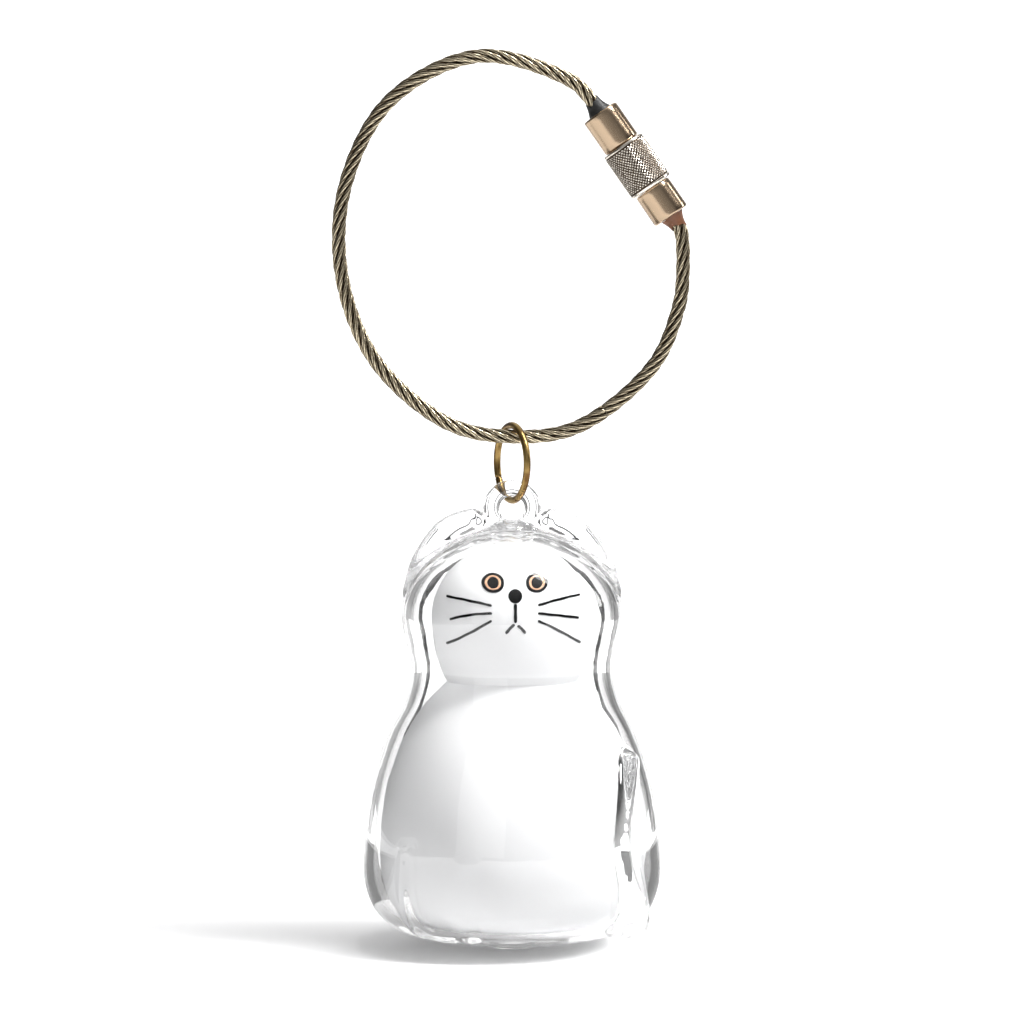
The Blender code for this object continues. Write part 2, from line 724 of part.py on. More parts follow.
def on_head(across, up, proud):
    """The point over the head's front, from shares of the head's radius, standing proud of it."""
    x, z = across * head_radius(), up * head_radius()
    reach = head_reach(z > 0)
    level = head_radius() * math.sqrt(1 - (z / reach) ** 2)
    y = -math.sqrt(level**2 - x**2)
    normal = Vector((x / head_radius() ** 2, y / head_radius() ** 2, z / reach**2)).normalized()
    place = Matrix.Rotation(FACE_TURN, 3, "Z") @ (Vector((x, y, z)) + proud * normal)
    return place + Vector((0, 0, head_middle()))


def crown(share):
    """The enamel's height at a share of the way from its middle to its edge."""
    dome = math.sqrt(1 - share**2)
    return ENAMEL_GAP + ENAMEL_HEIGHT * (ENAMEL_EDGE + (1 - ENAMEL_EDGE) * dome)


def grid_solid(name, rows, ring):
    """A closed skin over rows of points. Each row, and the stack of rows if ring is set, closes on itself."""
    work = bmesh.new()
    made = [[work.verts.new(point) for point in row] for row in rows]
    pairs = list(zip(made, made[1:]))
    if ring:
        pairs.append((made[-1], made[0]))
    for lower, upper in pairs:
        for i in range(len(lower)):
            work.faces.new((lower[i - 1], lower[i], upper[i], upper[i - 1]))
    if not ring:
        work.faces.new(made[0])
        work.faces.new(made[-1])
    return mesh_from(name, work)


def enamel_spot(name, place, outer, inner, look, charm, drop, sides=18):
    """A round of enamel on the head, with a hole if the inner size isn't zero."""
    turns = [FULL_TURN * i / sides for i in range(sides)]

    def row(share, proud):
        size = [inner[k] + share * (outer[k] - inner[k]) for k in (0, 1)]
        spots = ((place[0] + size[0] * math.cos(t), place[1] + size[1] * math.sin(t)) for t in turns)
        return [on_head(x, z, proud) for x, z in spots]

    holed = inner[0] > 0
    rows = [row(1.0, ENAMEL_GAP), row(1.0, crown(1.0)), row(0.85, crown(0.7 if holed else 0.85))]
    if holed:
        rows += [row(0.15, crown(0.7)), row(0.0, crown(1.0)), row(0.0, ENAMEL_GAP)]
    else:
        rows += [row(0.3, crown(0.3))]
        rows.insert(0, row(0.3, ENAMEL_GAP))
    add_piece(name, grid_solid(name, rows, holed), look, charm, drop)


def enamel_stroke(name, start, end, bow, width, charm, drop, stations=10):
    """A line of enamel with rounded ends, bowed up in the middle."""
    run = Vector(end) - Vector(start)
    side = Vector((-run.y, run.x)).normalized()
    half = width / 2
    rows = []
    for i in range(stations):
        share = (1 - math.cos(math.pi * i / (stations - 1))) / 2
        middle = Vector(start) + share * run + Vector((0, 4 * bow * share * (1 - share)))
        from_end = min(share, 1 - share) * run.length
        inside = min(max(1 - from_end / half, 0.0), STROKE_TIP)
        reach = half * math.sqrt(1 - inside**2)
        section = ((-1, ENAMEL_GAP), (-1, crown(1)), (0, crown(0)), (1, crown(1)), (1, ENAMEL_GAP))
        rows.append([on_head(*(middle + side * reach * across), proud) for across, proud in section])
    add_piece(name, grid_solid(name, rows, False), BLACK_ENAMEL, charm, drop)


def build_face(charm, drop):
    seam = ENAMEL_SEAM / head_radius()
    none = (0.0, 0.0)
    for name, side in (("left_eye", -1), ("right_eye", 1)):
        place = (side * EYE_PLACE[0], EYE_PLACE[1])
        hole = [size + seam for size in EYE_RING]
        core = [size + seam for size in EYE_PUPIL]
        enamel_spot(name + "_outline", place, EYE_OUTLINE, hole, BLACK_ENAMEL, charm, drop)
        enamel_spot(name + "_ring", place, EYE_RING, core, TAN_ENAMEL, charm, drop)
        enamel_spot(name + "_pupil", place, EYE_PUPIL, none, BLACK_ENAMEL, charm, drop)
    enamel_spot("nose", NOSE_PLACE, (NOSE_RADIUS, NOSE_RADIUS), none, BLACK_ENAMEL, charm, drop)
    for name, (start, end, bow, width) in STROKES.items():
        enamel_stroke(name, start, end, bow, width, charm, drop)


def main():
    clear_scene()
    _, mouth = rope_route()
    clasp = add_pivot("clasp_axis", mouth, clasp_direction())
    ring_height = rope_bottom()
    ring_pivot = add_pivot("ring_swing_pivot", (0, 0, ring_height))
    wire_top = ROPE_RADIUS + RING_WIRE_RADIUS + LINK_GAP
    charm_height = ring_height + wire_top - 2 * RING_RADIUS
    charm = add_pivot("charm_swing_pivot", (0, 0, charm_height))
    bpy.context.view_layer.update()

    build_rope(clasp)
    build_upper_ferrule(clasp)
    build_sleeve(clasp)
    build_swivel_pin(clasp)
    build_lower_ferrule(clasp)
    build_rope_seal("upper_rope_seal", clasp, 0.0, -1, BLACK_SEALANT)
    build_rope_seal("lower_rope_seal", clasp, clasp_length(), 1, BROWN_SEALANT)
    build_jump_ring(ring_pivot)

    wire_to_eye = EYE_RADIUS - EYE_TUBE - RING_WIRE_RADIUS - LINK_GAP
    drop = (0, 0, -(eye_height() + wire_to_eye))
    shell_space = build_shell_cutter(charm, drop)
    build_shell(charm, drop)
    build_figure(charm, drop)
    build_plug(charm, drop)
    build_hang_loop(charm, drop, shell_space)
    build_ears(charm, drop, shell_space)
    build_limbs(charm, drop, shell_space)
    build_face(charm, drop)


main()
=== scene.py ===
import logging
import math
from collections.abc import Callable, Sequence
from dataclasses import dataclass, field, replace
from enum import Enum
from itertools import product

import bpy
import numpy as np
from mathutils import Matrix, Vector


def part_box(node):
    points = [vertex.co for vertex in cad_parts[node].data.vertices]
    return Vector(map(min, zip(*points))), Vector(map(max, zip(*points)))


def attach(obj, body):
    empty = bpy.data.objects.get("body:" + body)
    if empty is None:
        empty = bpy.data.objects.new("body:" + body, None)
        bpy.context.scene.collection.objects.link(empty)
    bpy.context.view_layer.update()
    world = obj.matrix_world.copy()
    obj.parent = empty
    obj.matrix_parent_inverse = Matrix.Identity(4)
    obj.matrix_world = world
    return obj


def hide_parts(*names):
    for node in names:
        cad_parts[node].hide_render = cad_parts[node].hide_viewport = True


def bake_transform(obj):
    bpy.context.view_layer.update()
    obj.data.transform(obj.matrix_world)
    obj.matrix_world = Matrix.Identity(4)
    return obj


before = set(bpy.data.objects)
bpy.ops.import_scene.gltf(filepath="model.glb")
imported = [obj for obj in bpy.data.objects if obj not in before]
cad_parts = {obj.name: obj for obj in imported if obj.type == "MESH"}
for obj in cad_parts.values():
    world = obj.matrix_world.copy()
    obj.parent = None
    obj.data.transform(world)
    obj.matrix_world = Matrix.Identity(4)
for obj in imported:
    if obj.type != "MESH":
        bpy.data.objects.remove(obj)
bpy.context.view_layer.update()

# The looks of a glass cat charm on a wire rope key loop.
# Lengths are metres, and MM turns millimetres into them.

MM = 0.001
FULL_TURN = 2 * math.pi

Points = np.ndarray
log = logging.getLogger("cat_charm")


class Body(Enum):
    """The rigid bodies that pieces ride on."""

    KEY_LOOP = "key_loop"
    CLASP_END = "clasp_end"
    SLEEVE = "sleeve"
    RING = "ring"
    CHARM = "charm"


class Slot(Enum):
    """The record's material slots."""

    CLEAR_GLASS = "clear_glass"
    OPAL_GLASS = "opal_glass"
    BLACK_ENAMEL = "black_enamel"
    TAN_ENAMEL = "tan_enamel"
    ROPE_WIRE = "rope_wire"
    POLISHED_BRONZE = "polished_bronze"
    KNURLED_BRONZE = "knurled_bronze"
    STEEL_PIN = "steel_pin"
    ANTIQUE_BRASS = "antique_brass"
    BLACK_SEALANT = "black_sealant"
    BROWN_SEALANT = "brown_sealant"


# ---------------------------------------------------------------------------
# Shader maths


class Value:
    """A shader socket that holds numbers, with the arithmetic of Math nodes."""

    def __init__(self, graph: "Graph", socket: bpy.types.NodeSocket) -> None:
        """Wraps a socket of a graph.

        Args:
            graph: the node graph that the socket belongs to.
            socket: an output socket.
        """
        self.graph = graph
        self.socket = socket

    def _math(self, operation: str, *operands: "Value | float", clamp: bool = False) -> "Value":
        """Adds a Math node over these operands and returns its result."""
        settings = {"operation": operation, "use_clamp": clamp}
        return self.graph.node("ShaderNodeMath", settings, dict(enumerate(operands))).out("Value")

    def __add__(self, other: "Value | float") -> "Value":
        """The sum."""
        return self._math("ADD", self, other)

    __radd__ = __add__

    def __sub__(self, other: "Value | float") -> "Value":
        """The difference."""
        return self._math("SUBTRACT", self, other)

    def __rsub__(self, other: float) -> "Value":
        """The reflected difference."""
        return self._math("SUBTRACT", other, self)

    def __mul__(self, other: "Value | float") -> "Value":
        """The product."""
        return self._math("MULTIPLY", self, other)

    __rmul__ = __mul__

    def above(self, edge: float, soft: float) -> "Value":
        """A ramp from 0 to 1 that rises over a width around an edge.

        Args:
            edge: the value at the middle of the ramp.
            soft: the ramp's width.

        Returns:
            The clamped ramp.
        """
        start = edge - soft / 2
        return self._math("MULTIPLY_ADD", self, 1 / soft, -start / soft, clamp=True)

    def abs(self) -> "Value":
        """The absolute value."""
        return self._math("ABSOLUTE", self)


@dataclass
class Made:
    """A node that was just added, and the graph that it is in."""

    graph: "Graph"
    node: bpy.types.Node

    def out(self, name: str | int = 0) -> Value:
        """One of the node's outputs."""
        return Value(self.graph, self.node.outputs[name])


class Graph:
    """The node graph of a material or of the world."""

    def __init__(self, tree: bpy.types.NodeTree) -> None:
        """Takes over an empty node tree."""
        self.tree = tree
        tree.nodes.clear()

    def node(self, kind: str, settings: dict | None = None, inputs: dict | None = None) -> Made:
        """Adds any node.

        Args:
            kind: the node's type.
            settings: attributes to set first.
            inputs: values or wrapped sockets, by input name or number.

        Returns:
            The node, ready for its outputs to be read.
        """
        node = self.tree.nodes.new(kind)
        for name, value in (settings or {}).items():
            setattr(node, name, value)
        for name, value in (inputs or {}).items():
            if isinstance(value, Value):
                self.tree.links.new(value.socket, node.inputs[name])
            else:
                node.inputs[name].default_value = value
        return Made(self, node)

    def attribute(self, name: str) -> Value:
        """A number stored on the mesh's points."""
        return self.node("ShaderNodeAttribute", {"attribute_name": name}).out("Fac")

    def attribute_vector(self, name: str) -> Value:
        """A vector stored on the mesh's points."""
        return self.node("ShaderNodeAttribute", {"attribute_name": name}).out("Vector")

    def place(self) -> Value:
        """The place on the piece, in metres."""
        return self.node("ShaderNodeTexCoord").out("Object")

    def stretched(self, vector: Value, scale: tuple[float, float, float]) -> Value:
        """A vector with each part multiplied."""
        settings = {"operation": "MULTIPLY"}
        return self.node("ShaderNodeVectorMath", settings, {0: vector, 1: scale}).out("Vector")

    def length(self, vector: Value) -> Value:
        """A vector's length."""
        return self.node("ShaderNodeVectorMath", {"operation": "LENGTH"}, {0: vector}).out("Value")

    def noise(self, vector: Value, scale: float, detail: float = 2.0, rough: float = 0.5) -> Value:
        """Fractal noise around 0.5."""
        inputs = {"Vector": vector, "Scale": scale, "Detail": detail, "Roughness": rough}
        return self.node("ShaderNodeTexNoise", {}, inputs).out("Fac")

    def blend(self, share: Value, first: tuple | Value, second: tuple | Value) -> Value:
        """A colour mixed from two.

        Args:
            share: how much of the second there is.
            first: a colour or a wrapped socket.
            second: the other one.

        Returns:
            The mixed colour.
        """
        colours = [value if isinstance(value, Value) else (*value, 1.0) for value in (first, second)]
        inputs = {"Factor": share, 6: colours[0], 7: colours[1]}
        return self.node("ShaderNodeMix", {"data_type": "RGBA"}, inputs).out(2)

    def bump(self, height: Value, strength: float, distance: float) -> Value:
        """A normal from a height in metres times a distance."""
        inputs = {"Height": height, "Strength": strength, "Distance": distance}
        return self.node("ShaderNodeBump", {}, inputs).out("Normal")


@dataclass(frozen=True)
class Finish:
    """A plain Principled finish that others build on."""

    name: str
    slot: Slot | None = None
    colour: tuple[float, float, float] = (0.8, 0.8, 0.8)
    roughness: float = 0.4
    metallic: float = 0.0

    def material(self) -> bpy.types.Material:
        """The material of this finish, made once and then shared."""
        title = self.name + "_finish"
        known = bpy.data.materials.get(title)
        if known is not None:
            return known
        material = bpy.data.materials.new(title)
        material.use_nodes = True
        graph = Graph(material.node_tree)
        inputs = {"Base Color": (*self.colour, 1.0), "Roughness": self.roughness, "Metallic": self.metallic}
        inputs.update(self.surface(graph))
        shader = graph.node("ShaderNodeBsdfPrincipled", {}, inputs)
        output = graph.node("ShaderNodeOutputMaterial")
        material.node_tree.links.new(shader.out("BSDF").socket, output.node.inputs["Surface"])
        return material

    def surface(self, graph: Graph) -> dict:
        """The shader inputs that this finish adds or changes."""
        return {}


@dataclass(frozen=True)
class ClearGlass(Finish):
    """Blown borosilicate, with the faint waves that the flame leaves."""

    index: float = 1.47
    shine: float = 0.08
    wave_scale: float = 160.0

    def surface(self, graph: Graph) -> dict:
        """Transmission and a slow wave in the surface.

        Args:
            graph: the material's node graph.

        Returns:
            The shader inputs, by name.
        """
        wave = graph.noise(graph.place(), scale=self.wave_scale, detail=1.0)
        return {
            "Transmission Weight": 1.0,
            "IOR": self.index,
            "Specular IOR Level": self.shine,
            "Normal": graph.bump(wave, strength=0.10, distance=0.4 * MM),
        }


@dataclass(frozen=True)
class OpalGlass(Finish):
    """Dense white glass, a little cloudy."""

    def surface(self, graph: Graph) -> dict:
        """A very slight mottle in tone and gloss.

        Args:
            graph: the material's node graph.

        Returns:
            The shader inputs, by name.
        """
        cloud = graph.noise(graph.place(), scale=90.0, detail=3.0)
        wave = graph.noise(graph.place(), scale=120.0, detail=2.0)
        return {
            "Base Color": graph.blend(cloud, (0.81, 0.815, 0.825), (0.86, 0.86, 0.865)),
            "Roughness": cloud * 0.10 + 0.40,
            "Specular IOR Level": 0.2,
            "Normal": graph.bump(wave, strength=0.06, distance=0.4 * MM),
        }


@dataclass(frozen=True)
class Enamel(Finish):
    """Fired enamel, thick enough to shine, with brushed-on unevenness."""

    def surface(self, graph: Graph) -> dict:
        """Uneven gloss and a slight orange peel.

        Args:
            graph: the material's node graph.

        Returns:
            The shader inputs, by name.
        """
        grain = graph.noise(graph.place(), scale=2600.0, detail=3.0)
        light = tuple(min(1.0, part * 1.4 + 0.001) for part in self.colour)
        return {
            "Base Color": graph.blend(grain, self.colour, light),
            "Roughness": grain * 0.25 + (self.roughness - 0.12),
            "Specular IOR Level": 0.05,
            "Normal": graph.bump(grain, strength=0.25, distance=0.03 * MM),
        }


@dataclass(frozen=True)
class RopeWire(Finish):
    """Plated steel wire: bright on the crowns, dark between the wires with dirt and painted shade."""

    bright: tuple[float, float, float] = (0.80, 0.70, 0.50)
    dark: tuple[float, float, float] = (0.055, 0.036, 0.020)

    def surface(self, graph: Graph) -> dict:
        """Dirt and painted shade by depth, dark in the grooves, broken up by a fine mottle.

        Args:
            graph: the material's node graph.

        Returns:
            The shader inputs, by name.
        """
        crown = graph.attribute("crown")
        mottle = graph.noise(graph.place(), scale=2400.0, detail=3.0, rough=0.65)
        slow = graph.noise(graph.place(), scale=420.0, detail=2.0)
        # Low crown values turn the wire dark: dirt and painted shade in the grooves between the wires.
        bare_lit_share = (crown + (mottle - 0.5) * 0.55 + (slow - 0.5) * 0.30).above(0.62, 0.55)
        return {
            "Base Color": graph.blend(bare_lit_share, self.dark, self.bright),
            "Roughness": bare_lit_share * -0.22 + 0.46,
            "Normal": graph.bump(mottle, strength=0.35, distance=0.03 * MM),
        }


@dataclass(frozen=True)
class TurnedBronze(Finish):
    """Polished plating with fine lines along the clasp."""

    def surface(self, graph: Graph) -> dict:
        """Long thin streaks in tone, gloss and height.

        Args:
            graph: the material's node graph.

        Returns:
            The shader inputs, by name.
        """
        place = graph.attribute_vector("clasp_place")
        streak = graph.noise(graph.stretched(place, (1.0, 1.0, 0.05)), scale=2600.0, detail=4.0, rough=0.7)
        cloud = graph.noise(place, scale=500.0, detail=2.0)
        dull = tuple(part * 0.80 for part in self.colour)
        return {
            "Base Color": graph.blend((streak * 0.6 + cloud * 0.4), dull, self.colour),
            "Roughness": streak * 0.16 + (self.roughness - 0.08),
            "Normal": graph.bump(streak, strength=0.22, distance=0.02 * MM),
        }


@dataclass(frozen=True)
class KnurledBronze(Finish):
    """The sleeve's plating, rubbed bright on the diamonds' points and dark in the valleys as painted shade.
    """

    def surface(self, graph: Graph) -> dict:
        """Tone by height on the knurl, the valleys darkened as painted shade, with a fine grit.

        Args:
            graph: the material's node graph.

        Returns:
            The shader inputs, by name.
        """
        height = graph.attribute("crown")
        grit = graph.noise(graph.attribute_vector("clasp_place"), scale=3200.0, detail=3.0, rough=0.7)
        worn_unshaded_share = (height + (grit - 0.5) * 1.1).above(0.45, 0.38)
        # A shaded copy of the plating's colour: painted shade for the knurl's valleys.
        dark = tuple(part * 0.12 for part in self.colour)
        bright = (0.95, 0.88, 0.78)
        return {
            "Base Color": graph.blend(worn_unshaded_share, dark, bright),
            "Roughness": worn_unshaded_share * -0.18 + 0.38,
            "Normal": graph.bump(grit, strength=0.5, distance=0.05 * MM),
        }


@dataclass(frozen=True)
class AntiqueBrass(Finish):
    """Drawn brass wire with brown patina and rubbed spots."""

    def surface(self, graph: Graph) -> dict:
        """Brown film in patches, and drawing lines along the wire.

        Args:
            graph: the material's node graph.

        Returns:
            The shader inputs, by name.
        """
        film = graph.noise(graph.place(), scale=330.0, detail=3.0, rough=0.6)
        drawn = graph.stretched(graph.attribute_vector("wire_place"), (1.0, 1.0, 0.04))
        line = graph.noise(drawn, scale=3000.0, detail=3.0)
        brown = (0.16, 0.085, 0.03)
        share = (film * 0.8 + line * 0.35).above(0.56, 0.30)
        return {
            "Base Color": graph.blend(share, brown, self.colour),
            "Roughness": film * 0.2 + (self.roughness - 0.06),
            "Normal": graph.bump(line, strength=0.25, distance=0.02 * MM),
        }


@dataclass(frozen=True)
class Sealant(Finish):
    """A smear of sealing compound."""

    def surface(self, graph: Graph) -> dict:
        """A lumpy, half glossy skin.

        Args:
            graph: the material's node graph.

        Returns:
            The shader inputs, by name.
        """
        lump = graph.noise(graph.place(), scale=1100.0, detail=4.0, rough=0.6)
        light = tuple(min(1.0, part * 2.2 + 0.01) for part in self.colour)
        return {
            "Base Color": graph.blend(lump, self.colour, light),
            "Roughness": lump * 0.35 + 0.28,
            "Normal": graph.bump(lump, strength=0.6, distance=0.15 * MM),
        }


@dataclass(frozen=True)
class PaintedGlowFloor(Finish):
    """A white sweep of studio paper that glows as painted light, its glow dimmer right round the charm as
    painted shade.
    """

    # Painted light: the paper's glow levels, dim near the charm as painted shade and bright far off.
    near: float = 0.14
    far: float = 0.66

    def surface(self, graph: Graph) -> dict:
        """A faint paper grain, and a painted glow that grows away from the charm, leaving painted shade near
        it.

        Args:
            graph: the material's node graph.

        Returns:
            The shader inputs, by name.
        """
        grain = graph.noise(graph.place(), scale=700.0, detail=4.0)
        # The glow's share: small near the charm, where it paints shade, and full far off.
        far = graph.length(graph.place()).above(0.20, 0.12)
        return {
            "Base Color": graph.blend(grain, (0.885, 0.885, 0.89), (0.905, 0.905, 0.91)),
            "Emission Color": graph.blend(far, (self.near,) * 3, (self.far,) * 3),
            "Emission Strength": 1.0,
        }


CLEAR = ClearGlass("clear_glass", Slot.CLEAR_GLASS, (1.0, 1.0, 1.0), 0.0)
OPAL = OpalGlass("opal_glass", Slot.OPAL_GLASS)
BLACK = Enamel("black_enamel", Slot.BLACK_ENAMEL, (0.002, 0.002, 0.0022), 0.36)
TAN = Enamel("tan_enamel", Slot.TAN_ENAMEL, (0.62, 0.36, 0.23), 0.40)
ROPE = RopeWire("rope_wire", Slot.ROPE_WIRE, metallic=1.0)
BRONZE = TurnedBronze("turned_bronze", Slot.POLISHED_BRONZE, (0.55, 0.41, 0.28), 0.20, 1.0)
KNURL = KnurledBronze("knurled_bronze", Slot.KNURLED_BRONZE, (0.60, 0.42, 0.28), 0.3, 1.0)
STEEL = TurnedBronze("turned_steel", Slot.STEEL_PIN, (0.60, 0.58, 0.55), 0.28, 1.0)
BRASS = AntiqueBrass("antique_brass", Slot.ANTIQUE_BRASS, (0.52, 0.36, 0.13), 0.26, 1.0)
BLACK_SEAL = Sealant("black_sealant", Slot.BLACK_SEALANT, (0.006, 0.006, 0.006))
BROWN_SEAL = Sealant("brown_sealant", Slot.BROWN_SEALANT, (0.10, 0.035, 0.012))
FLOOR = PaintedGlowFloor("studio_paper", roughness=0.9)


@dataclass(frozen=True)
class Card(Finish):
    """Matt card of one even tone, whatever falls on it."""

    shade: float = 0.0

    def surface(self, graph: Graph) -> dict:
        """Black, with its tone as a glow.

        Args:
            graph: the material's node graph.

        Returns:
            The shader inputs, by name.
        """
        return {
            "Base Color": (0.0, 0.0, 0.0, 1.0),
            "Specular IOR Level": 0.0,
            "Emission Color": (self.shade, self.shade, self.shade, 1.0),
            "Emission Strength": 1.0,
        }


# ---------------------------------------------------------------------------
# Curves and meshes


def smooth_curve(knots: Sequence, steps: int = 24) -> Points:
    """A centripetal Catmull-Rom curve.

    Args:
        knots: the points that the curve runs through.
        steps: how many points it has from each knot to the next.

    Returns:
        The curve's points.
    """
    given = np.array(knots, float)
    given = np.vstack([2 * given[0] - given[1], given, 2 * given[-1] - given[-2]])
    spans = np.linalg.norm(np.diff(given, axis=0), axis=1) ** 0.5
    times = np.concatenate([[0.0], np.cumsum(spans)])

    def mix(first: Points, second: Points, start: float, end: float, at: Points) -> Points:
        """The point between two at a time between two times."""
        return ((end - at) * first + (at - start) * second) / (end - start)

    stretches = []
    for i in range(len(given) - 3):
        near, stamp = given[i : i + 4], times[i : i + 4]
        at = np.linspace(stamp[1], stamp[2], steps, endpoint=False)[:, None]
        lower = [mix(near[k], near[k + 1], stamp[k], stamp[k + 1], at) for k in range(3)]
        upper = [mix(lower[k], lower[k + 1], stamp[k], stamp[k + 2], at) for k in range(2)]
        stretches.append(mix(upper[0], upper[1], stamp[1], stamp[2], at))
    return np.vstack(stretches + [given[-2:-1]])


def lengths_along(curve: Points) -> Points:
    """The length of a curve up to each of its points."""
    return np.concatenate([[0.0], np.cumsum(np.linalg.norm(np.diff(curve, axis=0), axis=1))])


def read_curve(curve: Points, at: Points) -> Points:
    """The points of a curve at these lengths along it."""
    along = lengths_along(curve)
    return np.column_stack([np.interp(at, along, values) for values in curve.T])


def even_curve(knots: Sequence, count: int) -> Points:
    """Evenly spaced points on the smooth curve through the knots."""
    curve = smooth_curve(knots)
    return read_curve(curve, np.linspace(0.0, lengths_along(curve)[-1], count))


def unit(vectors: Points) -> Points:
    """The vectors with length one."""
    return vectors / np.linalg.norm(vectors, axis=-1, keepdims=True)


def skin_faces(rows: int, columns: int, rows_close: bool = False, columns_close: bool = True) -> Points:
    """The four-sided faces between rows of points.

    Args:
        rows: how many rows there are.
        columns: how many points are in each.
        rows_close: whether the last row joins the first.
        columns_close: whether each row closes on itself.

    Returns:
        Point numbers, four to a face.
    """
    i = np.arange(rows if rows_close else rows - 1)[:, None]
    j = np.arange(columns if columns_close else columns - 1)[None, :]
    after_i, after_j = (i + 1) % rows, (j + 1) % columns
    corners = (i * columns + j, i * columns + after_j, after_i * columns + after_j, after_i * columns + j)
    return np.stack(np.broadcast_arrays(*corners), axis=-1).reshape(-1, 4)


def add_object(name: str, data: bpy.types.ID | None) -> bpy.types.Object:
    """A new object in the scene that holds this mesh, lamp or camera."""
    made = bpy.data.objects.new(name, data)
    bpy.context.scene.collection.objects.link(made)
    return made


@dataclass
class Sculpt:
    """A mesh in the making: points, faces, and numbers stored on the points."""

    points: Points
    faces: list = field(default_factory=list)
    numbers: dict[str, Points] = field(default_factory=dict)
    vectors: dict[str, Points] = field(default_factory=dict)

    def piece(self, name: str, finish: Finish, sharp: float = 40.0) -> bpy.types.Object:
        """The finished object.

        Args:
            name: the object's name.
            finish: its finish.
            sharp: the angle in degrees over which an edge stays crisp.

        Returns:
            A new object in the scene, with its faces pointing out.
        """
        mesh = bpy.data.meshes.new(name)
        mesh.from_pydata(self.points.tolist(), [], [list(map(int, face)) for face in self.faces])
        mesh.update()
        for key, values in self.numbers.items():
            mesh.attributes.new(key, "FLOAT", "POINT").data.foreach_set("value", values.astype(np.float32))
        for key, values in self.vectors.items():
            flat = values.astype(np.float32).ravel()
            mesh.attributes.new(key, "FLOAT_VECTOR", "POINT").data.foreach_set("vector", flat)
        mesh.shade_smooth()
        if sharp < 180:
            mesh.set_sharp_from_angle(angle=math.radians(sharp))
        mesh.materials.append(finish.material())
        made = add_object(name, mesh)
        return made


def turned(profile: Points, segments: int, closed: bool = False) -> Sculpt:
    """A solid turned about Z.

    Args:
        profile: (radius, height) points down the outer side, from axis to axis unless closed.
        segments: how many sides it has.
        closed: whether the profile is a ring clear of the axis.

    Returns:
        The skin, with one point at each end that lies on the axis.
    """
    turns = np.linspace(0, FULL_TURN, segments, endpoint=False)
    ring = profile if closed else profile[1:-1]
    rows = np.stack(
        [ring[:, :1] * np.cos(turns), ring[:, :1] * np.sin(turns), np.repeat(ring[:, 1:], segments, 1)], -1
    )
    faces = skin_faces(len(ring), segments, rows_close=closed)[:, ::-1].tolist()
    points = rows.reshape(-1, 3)
    if closed:
        return Sculpt(points, faces)
    count = len(points)
    points = np.vstack([points, [0, 0, profile[0, 1]], [0, 0, profile[-1, 1]]])
    last = count - segments
    for i in range(segments):
        after = (i + 1) % segments
        faces.append([count, i, after])
        faces.append([count + 1, last + after, last + i])
    return Sculpt(points, faces)


def tube(path: Points, section: Callable[[Points, Points], Points], sides: int) -> Points:
    """Rows of points round a path in three dimensions.

    Args:
        path: the points along the middle.
        section: gives each point's distance from the middle, from (stations, 1) lengths and (1, sides) turns.
        sides: how many points are in each row.

    Returns:
        An array of rows, with shape (stations, sides, 3).
    """
    along = unit(np.gradient(path, axis=0))
    out = np.empty_like(path)
    guess = np.array((0.0, 1.0, 0.0)) if abs(along[0, 1]) < 0.9 else np.array((1.0, 0.0, 0.0))
    for i, direction in enumerate(along):
        guess = guess - direction * (guess @ direction)
        guess = guess / np.linalg.norm(guess)
        out[i] = guess
    side = np.cross(along, out)
    turns = np.linspace(0, FULL_TURN, sides, endpoint=False)[None, :]
    reach = section(lengths_along(path)[:, None], turns)[..., None]
    ring = out[:, None] * np.cos(turns)[..., None] + side[:, None] * np.sin(turns)[..., None]
    return path[:, None] + ring * reach


def capped(rows: Points) -> Sculpt:
    """A tube's rows as a closed skin, each end drawn together in one point.

    Args:
        rows: an array of rows, with shape (stations, sides, 3).

    Returns:
        The closed skin.
    """
    stations, sides = rows.shape[:2]
    faces = skin_faces(stations, sides).tolist()
    count = stations * sides
    points = np.vstack([rows.reshape(-1, 3), rows[0].mean(0), rows[-1].mean(0)])
    for i in range(sides):
        after = (i + 1) % sides
        faces.append([count, after, i])
        faces.append([count + 1, count - sides + i, count - sides + after])
    return Sculpt(points, faces)


# ---------------------------------------------------------------------------
# Key loop and clasp


